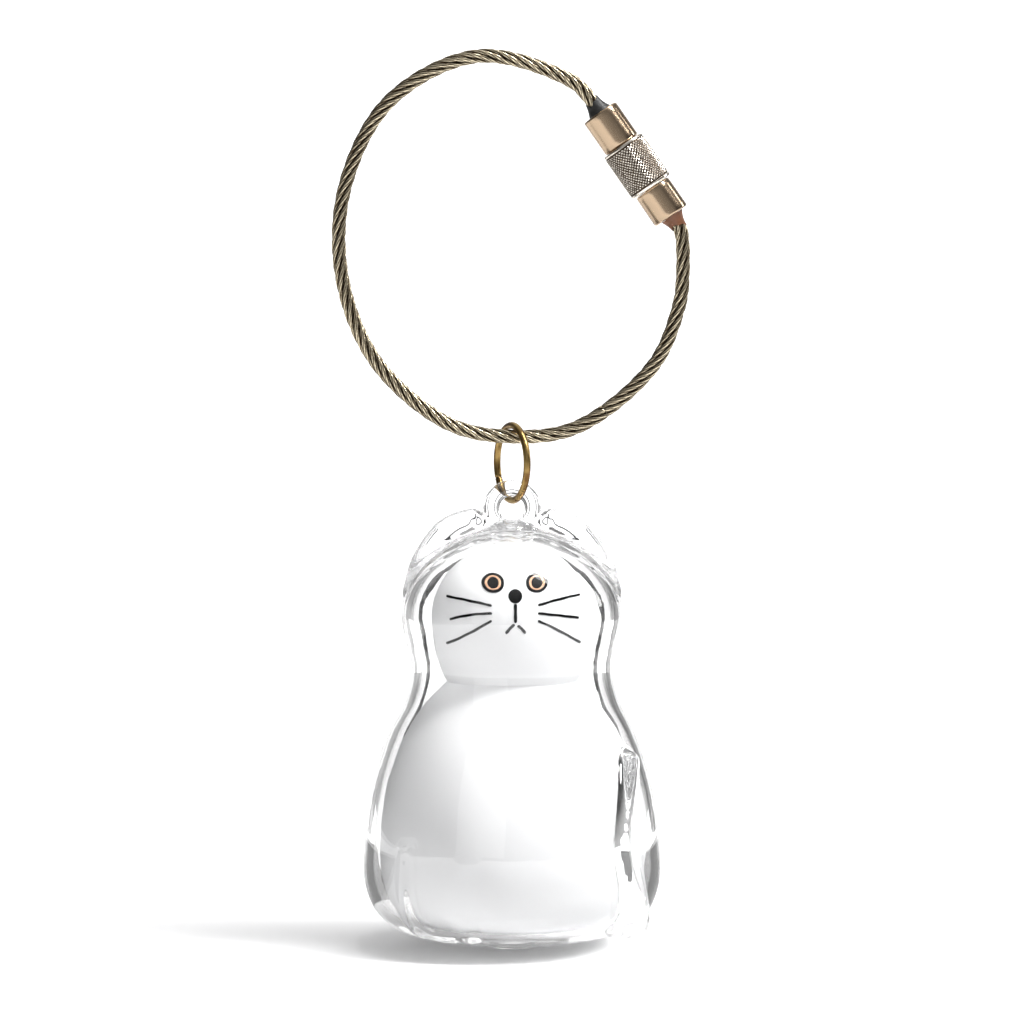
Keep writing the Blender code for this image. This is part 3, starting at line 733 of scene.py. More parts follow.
@dataclass(frozen=True)
class LoopRoute:
    """Where the rope runs and where the clasp's axis lies."""

    rope_radius: float = 1.0 * MM
    loop_radius: float = 24.0 * MM
    shape: tuple = (
        (70, 1.024),
        (100, 1.127),
        (130, 1.110),
        (160, 1.037),
        (190, 1.010),
        (220, 1.042),
        (250, 1.099),
        (270, 1.110),
        (290, 1.121),
        (320, 1.080),
        (340, 1.037),
        (350, 1.014),
    )
    clasp_bearing: float = 33.7
    clasp_reach: float = 0.867
    clasp_slope: float = -55.1
    upper_length: float = 5.5 * MM
    sleeve_length: float = 7.2 * MM
    lower_length: float = 4.8 * MM
    upper_bore: float = 4.0 * MM
    lower_bore: float = 2.6 * MM
    seam: float = 0.05 * MM
    lead: float = 2.2 * MM

    def axis(self) -> Points:
        """The clasp's direction, from its upper end to its lower."""
        slope = math.radians(self.clasp_slope)
        return np.array((math.cos(slope), 0.0, math.sin(slope)))

    def clasp_length(self) -> float:
        """The clasp's length when it is closed."""
        return self.upper_length + self.sleeve_length + self.lower_length + 2 * self.seam

    def polar(self, bearing: float, reach: float) -> Points:
        """A place in the loop's plane by bearing and distance from its centre."""
        turn = math.radians(bearing)
        return reach * np.array((math.cos(turn), 0.0, math.sin(turn)))

    def measured(self) -> tuple[Points, Points]:
        """The rope's middle line, and the clasp's upper mouth, with the loop's top at the origin."""
        along = self.axis()
        middle = self.polar(self.clasp_bearing, self.clasp_reach * self.loop_radius)
        upper = middle - along * self.clasp_length() / 2
        lower = middle + along * self.clasp_length() / 2
        knots = [upper + along * self.upper_bore * 0.97, upper, upper - along * self.lead]
        knots += [self.polar(bearing, share * self.loop_radius) for bearing, share in self.shape]
        knots += [lower + along * self.lead, lower, lower - along * self.lower_bore * 0.96]
        route = smooth_curve(knots)
        above = route[route[:, 2] > 0]
        top = above[np.argmin(np.abs(above[:, 0])), 2]
        lift = np.array((0.0, 0.0, self.rope_radius - top))
        return route + lift, upper + lift

    def from_clasp(self, points: Points) -> Points:
        """Points of the clasp's own frame, Z along its axis from the upper mouth, in the world.

        Args:
            points: points in the clasp's frame.

        Returns:
            The same points in the world.
        """
        _, mouth = self.measured()
        along = self.axis()
        across = np.array((-along[2], 0.0, along[0]))
        side = np.cross(along, across)
        frame_rows = np.stack([across, side, along])
        return points @ frame_rows + mouth


@dataclass(frozen=True)
class WireRope:
    """Six strands laid right hand round a core, each of six wires."""

    route: LoopRoute
    lay: float = 15.0 * MM
    strands: int = 6
    wires: int = 6
    wire_lay: float = 3.6 * MM
    sides: int = 30
    station: float = 0.38 * MM
    blend_reach: float = 12.0 * MM

    def strand_path(self, path: Points, along: Points, phase: float) -> Points:
        """The middle line of one strand round the rope's middle line.

        Args:
            path: the rope's middle line.
            along: the length up to each of its points.
            phase: the strand's turn round the rope, in radians.

        Returns:
            The strand's middle line.
        """
        tangent = unit(np.gradient(path, axis=0))
        depth = np.zeros_like(path)
        depth[:, 1] = 1.0
        across = np.cross(tangent, depth)
        turn = (FULL_TURN * along / self.lay + phase)[:, None]
        reach = self.route.rope_radius * 2 / 3
        return path + reach * (across * np.cos(turn) - depth * np.sin(turn))

    def strand(self, path: Points, along: Points, phase: float) -> tuple[Points, Points]:
        """One strand's skin, and how far out each point of it lies.

        Args:
            path: the rope's middle line.
            along: the length up to each of its points.
            phase: the strand's turn round the rope, in radians.

        Returns:
            Rows of points, and their heights from 0 in the grooves to 1 on the crowns.
        """
        middle = self.strand_path(path, along, phase)
        size = self.route.rope_radius / 3 * 1.04

        def section(lengths: Points, turns: Points) -> Points:
            """Six wires side by side, twisting against the rope's lay."""
            wave = np.abs(np.cos(self.wires / 2 * (turns + FULL_TURN * lengths / self.wire_lay)))
            return size * (0.80 + 0.20 * wave)

        rows = tube(middle, section, self.sides)
        out = np.linalg.norm(rows - path[:, None], axis=2) / self.route.rope_radius
        local = np.linalg.norm(rows - middle[:, None], axis=2) / size
        # This height drives the wire's dirt and painted shade in the grooves.
        crown = np.clip((out - 0.60) / 0.42, 0, 1) * np.clip((local - 0.78) / 0.22, 0.25, 1)
        return rows, crown

    def run(self, name: str, start: float, end: float) -> bpy.types.Object:
        """The rope between two lengths along its route.

        Args:
            name: the object's name.
            start: the length at which it starts.
            end: the length at which it ends.

        Returns:
            All the strands and the core, as one object.
        """
        curve, _ = self.route.measured()
        count = max(12, round((end - start) / self.station))
        along = np.linspace(start, end, count)
        path = read_curve(curve, along)
        points, faces, crowns, base = [], [], [], 0
        for i in range(self.strands):
            rows, crown = self.strand(path, along, FULL_TURN * i / self.strands)
            skin = capped(rows)
            points.append(skin.points)
            faces += [[corner + base for corner in face] for face in skin.faces]
            crowns.append(np.concatenate([crown.ravel(), [0.0, 0.0]]))
            base += len(skin.points)
        core_radius = self.route.rope_radius * 0.52
        core = capped(tube(path, lambda lengths, turns: core_radius + 0 * (lengths + turns), 10))
        points.append(core.points)
        faces += [[corner + base for corner in face] for face in core.faces]
        crowns.append(np.zeros(len(core.points)))
        skin = Sculpt(np.vstack(points), faces, {"crown": np.concatenate(crowns)})
        return skin.piece(name, ROPE, 180)

    def build(self) -> list[bpy.types.Object]:
        """Both runs of the rope, parted where it is square to the clasp."""
        curve, _ = self.route.measured()
        along = lengths_along(curve)
        parting = float(along[int(np.argmax(curve @ self.route.axis()))])
        held = self.run("rope_long_run", 0.0, parting)
        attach(held, Body.KEY_LOOP.value)
        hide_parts("wire_rope")
        sprung = self.run("rope_short_run", parting, float(along[-1]))
        start, end = read_curve(curve, np.array([parting - 0.2 * MM, parting + self.blend_reach]))
        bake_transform(sprung)
        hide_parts("wire_rope_free_end")
        return [held, sprung]


@dataclass(frozen=True)
class Clasp:
    """The screw clasp: two ferrules, the knurled sleeve and the swivel pin."""

    route: LoopRoute
    radius: float = 2.7 * MM
    edge: float = 0.32 * MM
    bore: float = 1.05 * MM
    mouth_chamfer: float = 0.12 * MM
    axis_hole: float = 0.05 * MM
    stud_length: float = 3.5 * MM
    pitch: float = 0.6 * MM
    thread_root: float = 1.45 * MM
    thread_crest: float = 1.75 * MM
    thread_gap: float = 0.10 * MM
    sleeve_radius: float = 3.2 * MM
    sleeve_lip: float = 1.05 * MM
    knurl_pitch: float = 0.52 * MM
    knurl_depth: float = 0.13 * MM
    pin_radius: float = 1.1 * MM
    head_radius: float = 1.5 * MM
    head_length: float = 1.0 * MM
    socket: float = 1.5 * MM
    segments: int = 128

    def rounded(self, corner: tuple[float, float], way: tuple[int, int], steps: int = 5) -> list:
        """A rounded outer corner as (radius, height) points.

        Args:
            corner: the sharp corner's radius and height.
            way: 1 or -1 for whether the end face is above, and whether the path runs up.
            steps: how many points it has.

        Returns:
            The arc's points in the path's order.
        """
        radius, height = corner
        above, up = way
        turns = np.linspace(0, math.pi / 2, steps)
        arc = [
            (radius - self.edge * (1 - math.cos(turn)), height - above * self.edge * (1 - math.sin(turn)))
            for turn in turns
        ]
        return arc if above == up else arc[::-1]

    def dress(self, sculpt: Sculpt, name: str, finish: Finish, body: Body, node: str) -> bpy.types.Object:
        """Sets a piece made in the clasp's frame into the world, on its body.

        Args:
            sculpt: the piece, in the clasp's frame.
            name: the object's name.
            finish: its finish.
            body: the body it rides on.
            node: the solid it stands for.

        Returns:
            The piece.
        """
        sculpt.vectors["clasp_place"] = sculpt.points.copy()
        sculpt.points = self.route.from_clasp(sculpt.points)
        piece = sculpt.piece(name, finish, 28)
        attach(piece, body.value)
        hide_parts(node)
        return piece

    def threads(self, grow: float, start: float, end: float) -> tuple[Points, Points]:
        """Rows for a right hand thread from one height to another.

        Args:
            grow: the clearance added to the radius.
            start: the first row's height.
            end: the last row's height.

        Returns:
            Heights of the rows, and each row's radii round the axis.
        """
        rows = max(8, round(abs(end - start) / self.pitch * 8))
        heights = np.linspace(start, end, rows)
        turns = np.arange(self.segments) / self.segments
        wave = np.cos(FULL_TURN * (heights[:, None] / self.pitch - turns[None, :]))
        middle = (self.thread_root + self.thread_crest) / 2 + grow
        return heights, middle + (self.thread_crest - self.thread_root) / 2 * wave

    def stack(self, radii: Points, heights: Points) -> Points:
        """Rows of points round the axis.

        Args:
            radii: the radii, one row for each height.
            heights: the rows' heights.

        Returns:
            An array of shape (rows, segments, 3).
        """
        turns = np.linspace(0, FULL_TURN, self.segments, endpoint=False)
        level = np.repeat(heights[:, None], self.segments, 1)
        return np.stack([radii * np.cos(turns), radii * np.sin(turns), level], axis=2)

    def rings(self, profile: list) -> Points:
        """Plain rows of points from (radius, height) points."""
        plain = np.array(profile)
        return self.stack(np.repeat(plain[:, :1], self.segments, 1), plain[:, 1])

    @staticmethod
    def turned_out(rows: Points) -> Sculpt:
        """Rows that run down the outside, capped, with their faces pointing out."""
        sculpt = capped(rows)
        sculpt.faces = [face[::-1] for face in sculpt.faces]
        return sculpt

    def upper_ferrule(self) -> bpy.types.Object:
        """The upper ferrule with its threaded stud, as one skin."""
        top = self.route.upper_length
        depth = self.route.upper_bore
        profile = [(self.axis_hole, depth), (self.bore, depth)]
        profile += [(self.bore, self.mouth_chamfer), (self.bore + self.mouth_chamfer, 0.0)]
        profile += self.rounded((self.radius, 0.0), (-1, 1))
        profile += [(self.radius, height) for height in np.linspace(self.edge, top - self.edge, 9)[1:-1]]
        profile += self.rounded((self.radius, top), (1, 1))
        profile += [(self.thread_root + 0.35 * MM, top), (self.thread_root, top + 0.02 * MM)]
        end = top + self.stud_length - 0.3 * MM
        heights, radii = self.threads(0.0, top + 0.05 * MM, end)
        tip = self.rings([(self.thread_root - 0.15 * MM, end + 0.3 * MM)])
        sculpt = self.turned_out(np.concatenate([self.rings(profile), self.stack(radii, heights), tip]))
        return self.dress(sculpt, "ferrule_upper", BRONZE, Body.KEY_LOOP, "upper_ferrule")

    def lower_ferrule(self) -> bpy.types.Object:
        """The lower ferrule, pressed on the swivel pin."""
        start = self.route.upper_length + self.route.sleeve_length + 2 * self.route.seam
        end = self.route.clasp_length()
        socket = self.pin_radius + 0.03 * MM
        profile = [(self.axis_hole, start + self.socket), (socket, start + self.socket), (socket, start)]
        profile += self.rounded((self.radius, start), (-1, 1))
        sides = np.linspace(start + self.edge, end - self.edge, 9)[1:-1]
        profile += [(self.radius, height) for height in sides]
        profile += self.rounded((self.radius, end), (1, 1))
        profile += [(self.bore + self.mouth_chamfer, end), (self.bore, end - self.mouth_chamfer)]
        bottom = end - self.route.lower_bore
        profile += [(self.bore, bottom), (self.axis_hole, bottom)]
        sculpt = self.turned_out(self.rings(profile))
        return self.dress(sculpt, "ferrule_lower", BRONZE, Body.CLASP_END, "lower_ferrule")

    def knurl(self, turns: Points, heights: Points, end_share: Points) -> Points:
        """The knurl's height from 0 in the valleys to 1 on the points of its diamonds.

        Args:
            turns: bearings round the axis, in radians.
            heights: heights along the axis.
            end_share: how much of the knurl there is at each height.

        Returns:
            The relief at each bearing and height.
        """
        around = round(FULL_TURN * self.sleeve_radius / self.knurl_pitch)
        first = around * turns / FULL_TURN + heights / self.knurl_pitch
        second = around * turns / FULL_TURN - heights / self.knurl_pitch
        ridge = [np.abs(2 * (value - np.floor(value)) - 1) for value in (first, second)]
        return np.minimum(ridge[0], ridge[1]) * end_share

    def sleeve(self) -> bpy.types.Object:
        """The knurled sleeve with its inner thread, chamber and lip, as one closed skin."""
        segments = round(FULL_TURN * self.sleeve_radius / self.knurl_pitch) * 8
        start = self.route.upper_length + self.route.seam
        end = start + self.route.sleeve_length
        chamber = self.route.upper_length + self.stud_length + 0.1 * MM
        wide = self.thread_crest + 0.3 * MM
        lip = self.pin_radius + 0.1 * MM
        threaded = replace(self, segments=segments)
        inner_heights, inner_radii = threaded.threads(self.thread_gap, start, chamber)
        rim = 0.45 * MM
        knurl_heights = np.arange(start + rim, end - rim, self.knurl_pitch / 8)
        turns = np.linspace(0, FULL_TURN, segments, endpoint=False)[None, :]
        share = np.minimum(knurl_heights - knurl_heights[0], knurl_heights[-1] - knurl_heights)
        share = np.clip(share / (0.2 * MM), 0, 1)[:, None]
        relief = self.knurl(turns, knurl_heights[:, None], share)
        outer = self.sleeve_radius - self.knurl_depth * (1 - relief)
        down = [(wide, chamber), (wide, end - self.sleeve_lip), (lip, end - self.sleeve_lip), (lip, end)]
        down += self.rounded((self.sleeve_radius, end), (1, 1))[::-1]
        down += [(self.sleeve_radius, end - rim + 0.06 * MM)]
        up = [(self.sleeve_radius, start + rim - 0.06 * MM)]
        up += self.rounded((self.sleeve_radius, start), (-1, 1))[::-1]
        up += [(self.thread_root + 0.5 * MM, start)]
        rows = np.concatenate(
            [
                threaded.stack(inner_radii, inner_heights),
                threaded.rings(down),
                threaded.stack(outer[::-1], knurl_heights[::-1]),
                threaded.rings(up),
            ]
        )
        # The knurl's relief, stored as crown, drives the painted shade in its valleys.
        height = np.full(rows.shape[:2], 0.75)
        first = len(inner_heights) + len(down)
        height[: len(inner_heights)] = 0.3
        height[first : first + len(knurl_heights)] = relief[::-1]
        faces = skin_faces(len(rows), segments, rows_close=True)[:, ::-1].tolist()
        sculpt = Sculpt(rows.reshape(-1, 3), faces, {"crown": height.ravel()})
        return self.dress(sculpt, "sleeve", KNURL, Body.SLEEVE, "screw_sleeve")

    def swivel_pin(self) -> bpy.types.Object:
        """The pin whose head turns in the sleeve's chamber."""
        sleeve_end = self.route.upper_length + self.route.seam + self.route.sleeve_length
        seat = sleeve_end - self.sleeve_lip - 0.1 * MM
        tip = sleeve_end + self.route.seam + self.socket
        chamfer = 0.15 * MM
        profile = [
            (self.axis_hole, seat - self.head_length),
            (self.head_radius - chamfer, seat - self.head_length),
            (self.head_radius, seat - self.head_length + chamfer),
            (self.head_radius, seat - chamfer),
            (self.head_radius - chamfer, seat),
            (self.pin_radius, seat),
            (self.pin_radius, tip - chamfer),
            (self.pin_radius - chamfer, tip - 0.05 * MM),
            (self.axis_hole, tip - 0.05 * MM),
        ]
        return self.dress(self.turned_out(self.rings(profile)), "pin", STEEL, Body.CLASP_END, "swivel_pin")

    def seal(
        self, name: str, mouth: float, way: int, finish: Finish, body: Body, node: str
    ) -> bpy.types.Object:
        """A lumpy fillet of sealant between a ferrule's mouth and the rope.

        Args:
            name: the object's name.
            mouth: the mouth's height on the clasp's axis.
            way: 1 if the rope leaves towards greater heights, else -1.
            finish: the sealant's finish.
            body: the body it rides on.
            node: the solid it stands for.

        Returns:
            The fillet.
        """
        length, foot, tip = 1.7 * MM, 1.75 * MM, 1.08 * MM
        shares = np.linspace(0, 1, 14)
        turns = np.linspace(0, FULL_TURN, self.segments, endpoint=False)[None, :]
        slope = tip + (foot - tip) * (1 - shares[:, None]) ** 1.7
        lumps = np.sin(3 * turns + 1.1) * 0.5 + np.sin(5 * turns + 2.0 + 4 * shares[:, None]) * 0.3
        slope = slope * (1 + 0.055 * lumps * (1 - 0.4 * shares[:, None]))
        reach = length * (1 + 0.22 * np.sin(2 * turns + 0.6) + 0.10 * np.sin(5 * turns))
        rows = self.stack(slope, shares)
        rows[..., 2] = mouth + way * (self.route.seam * 0.5 + shares[:, None] * reach)
        inside = self.route.rope_radius - 0.08 * MM
        inner = self.rings([(inside, mouth + way * length * 0.8), (inside, mouth + way * 0.02 * MM)])
        skin = np.concatenate([rows, inner])
        faces = skin_faces(len(skin), self.segments, rows_close=True)
        faces = faces if way > 0 else faces[:, ::-1]
        return self.dress(Sculpt(skin.reshape(-1, 3), faces.tolist()), name, finish, body, node)

    def build(self) -> list[bpy.types.Object]:
        """Every piece of the clasp."""
        end = self.route.clasp_length()
        return [
            self.upper_ferrule(),
            self.lower_ferrule(),
            self.sleeve(),
            self.swivel_pin(),
            self.seal("seal_upper", 0.0, -1, BLACK_SEAL, Body.KEY_LOOP, "upper_rope_seal"),
            self.seal("seal_lower", end, 1, BROWN_SEAL, Body.CLASP_END, "lower_rope_seal"),
        ]


@dataclass(frozen=True)
class JumpRing:
    """The brass jump ring that joins the rope and the glass eye."""

    top: float
    rope_radius: float
    radius: float = 5.275 * MM
    wire: float = 0.5 * MM
    gap: float = 0.08 * MM
    bearing: float = -66.4
    seam_bearing: float = 205.0
    seam: float = 0.08 * MM
    ease: float = 0.12 * MM
    stations: int = 220
    sides: int = 28

    def build(self) -> bpy.types.Object:
        """Round wire bent to a ring, its cut ends a hair apart and a little rounded."""
        bearing = math.radians(self.bearing)
        across = np.array((math.cos(bearing), math.sin(bearing), 0.0))
        upright = np.array((0.0, 0.0, 1.0))
        half = self.seam / self.radius / 2
        start = math.radians(self.seam_bearing) + half
        turns = np.linspace(start, start + FULL_TURN - 2 * half, self.stations)[:, None]
        middle = np.array((0.0, 0.0, self.top + self.rope_radius + self.wire + self.gap - self.radius))
        path = self.radius * (across * np.cos(turns) + upright * np.sin(turns)) + middle
        total = lengths_along(path)[-1]

        def section(lengths: Points, sweep: Points) -> Points:
            """Round wire with eased ends."""
            from_end = np.clip(np.minimum(lengths, total - lengths) / self.ease, 0, 1)
            return self.wire * (0.86 + 0.14 * np.sqrt(1 - (1 - from_end) ** 2)) + 0 * sweep

        rows = tube(path, section, self.sides)
        sculpt = capped(rows)
        sweep = np.linspace(0, FULL_TURN, self.sides, endpoint=False)[None, :]
        along = lengths_along(path)[:, None]
        lined = np.broadcast_arrays(self.wire * np.cos(sweep), self.wire * np.sin(sweep), along)
        place = np.stack(lined, axis=2).reshape(-1, 3)
        sculpt.vectors["wire_place"] = np.vstack([place, place[0], place[-1]])
        piece = sculpt.piece("ring", BRASS, 60)
        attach(piece, Body.RING.value)
        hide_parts("jump_ring")
        return piece


# ---------------------------------------------------------------------------
# Glass charm


@dataclass(frozen=True)
class CharmShape:
    """Sizes that the glass shell, inner figure and face share. Heights count up from the base plane."""

    base: float
    plug_radius: float = 4.25 * MM
    plug_thickness: float = 1.35 * MM
    seam: float = 0.05 * MM
    radius: float = 21.05 * MM
    height: float = 57.7 * MM
    wall: float = 1.4 * MM
    dome_radius: float = 0.739
    dome_foot: float = 0.787
    shell_shape: tuple = (
        (0.696, 0.698),
        (0.682, 0.650),
        (0.727, 0.581),
        (0.822, 0.513),
        (0.907, 0.425),
        (0.969, 0.328),
        (1.000, 0.210),
        (0.983, 0.125),
        (0.912, 0.064),
        (0.803, 0.029),
        (0.523, 0.000),
        (0.380, 0.000),
    )
    side_gap: float = 1.0 * MM
    top_gap: float = 0.4 * MM
    floor_gap: float = 0.3 * MM
    head_share: float = 0.608
    head_middle_share: float = 0.801
    head_drop: float = 0.277
    neck_height: float = 0.638
    figure_shape: tuple = (
        (0.676, 0.568),
        (0.804, 0.500),
        (0.906, 0.413),
        (0.976, 0.312),
        (1.000, 0.210),
        (0.981, 0.129),
        (0.933, 0.065),
        (0.799, 0.017),
        (0.617, 0.000),
        (0.500, 0.000),
    )
    face_turn: float = math.radians(2.4)

    def floor(self) -> float:
        """The height of the shell's flat bottom."""
        return self.plug_thickness + self.seam

    def top(self) -> float:
        """The height of the dome's top."""
        return self.floor() + self.height

    def outline(self, count: int) -> Points:
        """The shell's outside as (radius, height) points, from the dome's top to the flat of the base.

        Args:
            count: how many points it has.

        Returns:
            Evenly spaced points, the first on the axis.
        """
        foot = self.dome_foot * self.height
        knots = []
        for turn in np.radians((90, 78, 65, 50, 35, 18, 0)):
            rise = (self.height - foot) * math.sin(turn)
            knots.append((self.dome_radius * self.radius * math.cos(turn), self.floor() + foot + rise))
        knots += [(r * self.radius, self.floor() + z * self.height) for r, z in self.shell_shape]
        return even_curve(knots, count)

    def figure_radius(self) -> float:
        """The inner figure's greatest radius."""
        return self.radius - self.wall - self.side_gap

    def figure_floor(self) -> float:
        """The height of the figure's bottom."""
        return self.floor() + self.wall + self.floor_gap

    def figure_height(self) -> float:
        """How tall the figure is."""
        return self.top() - self.wall - self.top_gap - self.figure_floor()

    def head_radius(self) -> float:
        """The head's radius in plan."""
        return self.head_share * self.figure_radius()

    def head_middle(self) -> float:
        """The height of the head's widest place."""
        return self.figure_floor() + self.head_middle_share * self.figure_height()

    def head_reach(self, up: Points) -> Points:
        """The head's half height, above its middle where the values are true, else below."""
        return np.where(up, 1 - self.head_middle_share, self.head_drop) * self.figure_height()

    def figure_outline(self) -> Points:
        """Head and body as (radius, height) points, which meet in a crease at the neck."""
        neck = math.asin((self.head_middle_share - self.neck_height) / self.head_drop)
        turns = np.concatenate([np.linspace(math.pi / 2, 0, 40), np.linspace(0, -neck, 22)[1:]])
        heights = self.head_middle() + self.head_reach(turns > 0) * np.sin(turns)
        head = np.column_stack([self.head_radius() * np.cos(turns), heights])
        floor, tall, wide = self.figure_floor(), self.figure_height(), self.figure_radius()
        body = [(r * wide, floor + z * tall) for r, z in self.figure_shape]
        return np.vstack([head, even_curve([tuple(head[-1])] + body, 120)[1:]])

    def world(self, points: Points) -> Points:
        """Points over the charm's base, in the world."""
        return points + np.array((0.0, 0.0, self.base))

    def around(self, bearing: float, share: float, rise: float) -> Points:
        """A place by bearing from the front, share of the shell's radius and of its height.

        Args:
            bearing: degrees from the front, towards X.
            share: share of the shell's radius.
            rise: share of the shell's height.

        Returns:
            A point over the charm's base.
        """
        turn = math.radians(bearing)
        reach = share * self.radius
        return np.array((reach * math.sin(turn), -reach * math.cos(turn), self.floor() + rise * self.height))


def melt(first: Points, second: Points, soft: float) -> Points:
    """The distance from two shapes joined, with a fillet about this wide."""
    share = np.clip(0.5 + 0.5 * (second - first) / soft, 0, 1)
    return second * (1 - share) + first * share - soft * share * (1 - share)


def carve(first: Points, second: Points, soft: float) -> Points:
    """The distance from the first shape with the second cut from it."""
    return -melt(-first, second, soft)


def rod(points: Points, stops: Points, radii: Points) -> Points:
    """Distance from a round rod through the stops, its radius running through the radii.

    Args:
        points: where the distance is wanted.
        stops: points along the rod's middle.
        radii: the rod's radius at each stop.

    Returns:
        The distance at each point, negative inside.
    """
    best = np.full(len(points), np.inf)
    for start, end, first, last in zip(stops, stops[1:], radii, radii[1:]):
        run = end - start
        share = np.clip(((points - start) @ run) / (run @ run), 0, 1)
        away = np.linalg.norm(points - start - share[:, None] * run, axis=1)
        best = np.minimum(best, away - (first + share * (last - first)))
    return best


def ellipsoid(points: Points, middle: Points, size: Points) -> Points:
    """About the distance from an ellipsoid.

    Args:
        points: where the distance is wanted.
        middle: the ellipsoid's middle.
        size: its three half widths.

    Returns:
        The distance at each point, negative inside.
    """
    scaled = (points - middle) / size
    length = np.linalg.norm(scaled, axis=1)
    return length * (length - 1) / np.maximum(np.linalg.norm(scaled / size, axis=1), 1e-9)


def facing_ring(points: Points, middle: Points, radius: float, tube_radius: float) -> Points:
    """Distance from a ring that faces along Y."""
    local = points - middle
    return np.hypot(np.hypot(local[:, 0], local[:, 2]) - radius, local[:, 1]) - tube_radius


class TurnedField:
    """Distance from a solid turned about Z, read from a table over radius and height."""

    def __init__(self, outline: Points, step: float, reach: float) -> None:
        """Works out the table.

        Args:
            outline: (radius, height) points from axis to axis.
            step: the table's spacing.
            reach: how far past the outline the table goes.
        """
        self.step = step
        self.low = outline[:, 1].min() - reach
        radii = np.arange(0, outline[:, 0].max() + reach, step)
        heights = np.arange(self.low, outline[:, 1].max() + reach, step)
        grid = np.stack(np.meshgrid(radii, heights, indexing="ij"), -1)
        best = np.full(grid.shape[:2], np.inf)
        inside = np.zeros(grid.shape[:2], bool)
        for start, end in zip(outline, outline[1:]):
            run = end - start
            share = np.clip(((grid - start) @ run) / (run @ run), 0, 1)
            best = np.minimum(best, np.linalg.norm(grid - start - share[..., None] * run, axis=2))
            spans = (start[1] > grid[..., 1]) != (end[1] > grid[..., 1])
            if spans.any():
                crossing = start[0] + (grid[..., 1] - start[1]) / (end[1] - start[1]) * run[0]
                inside ^= spans & (grid[..., 0] < crossing)
        self.table = np.where(inside, -best, best)

    def __call__(self, points: Points) -> Points:
        """The distance at each point.

        Args:
            points: where the distance is wanted.

        Returns:
            The distances, negative inside.
        """
        across = np.hypot(points[:, 0], points[:, 1]) / self.step
        up = (points[:, 2] - self.low) / self.step
        rows, columns = self.table.shape
        i = np.clip(across.astype(int), 0, rows - 2)
        j = np.clip(up.astype(int), 0, columns - 2)
        a, b = np.clip(across - i, 0, 1.5), np.clip(up - j, 0, 1.5)
        table = self.table
        near = table[i, j] * (1 - b) + table[i, j + 1] * b
        far = table[i + 1, j] * (1 - b) + table[i + 1, j + 1] * b
        return near * (1 - a) + far * a


@dataclass
class SkinOfField:
    """The smooth skin of a field: a net over a grid, then drawn onto the surface."""

    distance: Callable[[Points], Points]
    low: Points
    high: Points
    step: float = 0.45 * MM
    pulls: int = 5

    def net(self) -> tuple[Points, list]:
        """One point in each grid cell that the surface passes through, and the faces between them."""
        axes = [np.arange(a, b + self.step, self.step) for a, b in zip(self.low, self.high)]
        shape = tuple(len(axis) for axis in axes)
        grid = np.stack(np.meshgrid(*axes, indexing="ij"), -1).reshape(-1, 3)
        values = np.concatenate([self.distance(part) for part in np.array_split(grid, 12)]).reshape(shape)
        solid = values < 0
        x, y, z = (size - 1 for size in shape)
        corners = product((0, 1), repeat=3)
        count = sum(solid[i : x + i, j : y + j, k : z + k].astype(int) for i, j, k in corners)
        cells = np.argwhere((count > 0) & (count < 8))
        number = np.full([size - 1 for size in shape], -1)
        number[tuple(cells.T)] = np.arange(len(cells))
        points = self.low + (cells + 0.5) * self.step
        faces = []
        for axis in range(3):
            ahead = np.take(solid, range(1, shape[axis]), axis)
            behind = np.take(solid, range(shape[axis] - 1), axis)
            edges = np.argwhere(ahead != behind)
            u, v = [other for other in range(3) if other != axis]
            room = (edges[:, u] > 0) & (edges[:, v] > 0)
            edges = edges[room & (edges[:, u] < shape[u] - 1) & (edges[:, v] < shape[v] - 1)]
            leaving = behind[tuple(edges.T)]
            quad = []
            for back_u, back_v in ((1, 1), (0, 1), (0, 0), (1, 0)):
                cell = edges.copy()
                cell[:, u] -= back_u
                cell[:, v] -= back_v
                quad.append(number[tuple(cell.T)])
            quad = np.stack(quad, 1)
            flip = leaving if axis != 1 else ~leaving
            quad[~flip] = quad[~flip][:, ::-1]
            faces += quad.tolist()
        return points, faces

    def slope(self, points: Points) -> Points:
        """The field's direction of rise.

        Args:
            points: where it is wanted.

        Returns:
            One vector for each point.
        """
        reach = 0.02 * MM
        parts = []
        for axis in range(3):
            shift = np.zeros(3)
            shift[axis] = reach
            parts.append((self.distance(points + shift) - self.distance(points - shift)) / (2 * reach))
        return np.stack(parts, 1)

    def build(self) -> tuple[Points, list]:
        """The finished skin, its points evened out between pulls onto the surface."""
        points, faces = self.net()
        pairs = np.array(faces)
        ends = np.concatenate([pairs[:, [0, 1]], pairs[:, [1, 2]], pairs[:, [2, 3]], pairs[:, [3, 0]]])
        ends = np.concatenate([ends, ends[:, ::-1]])
        degree = np.bincount(ends[:, 0], minlength=len(points))[:, None]
        for turn in range(self.pulls):
            if turn:
                near = points[ends[:, 1]]
                total = np.stack([np.bincount(ends[:, 0], near[:, k], len(points)) for k in range(3)], 1)
                points = points * 0.5 + total / degree * 0.5
            for _ in range(2):
                slope = self.slope(points)
                size = np.maximum((slope**2).sum(1), 0.05)
                points = points - slope * (self.distance(points) / size)[:, None]
        return points, faces


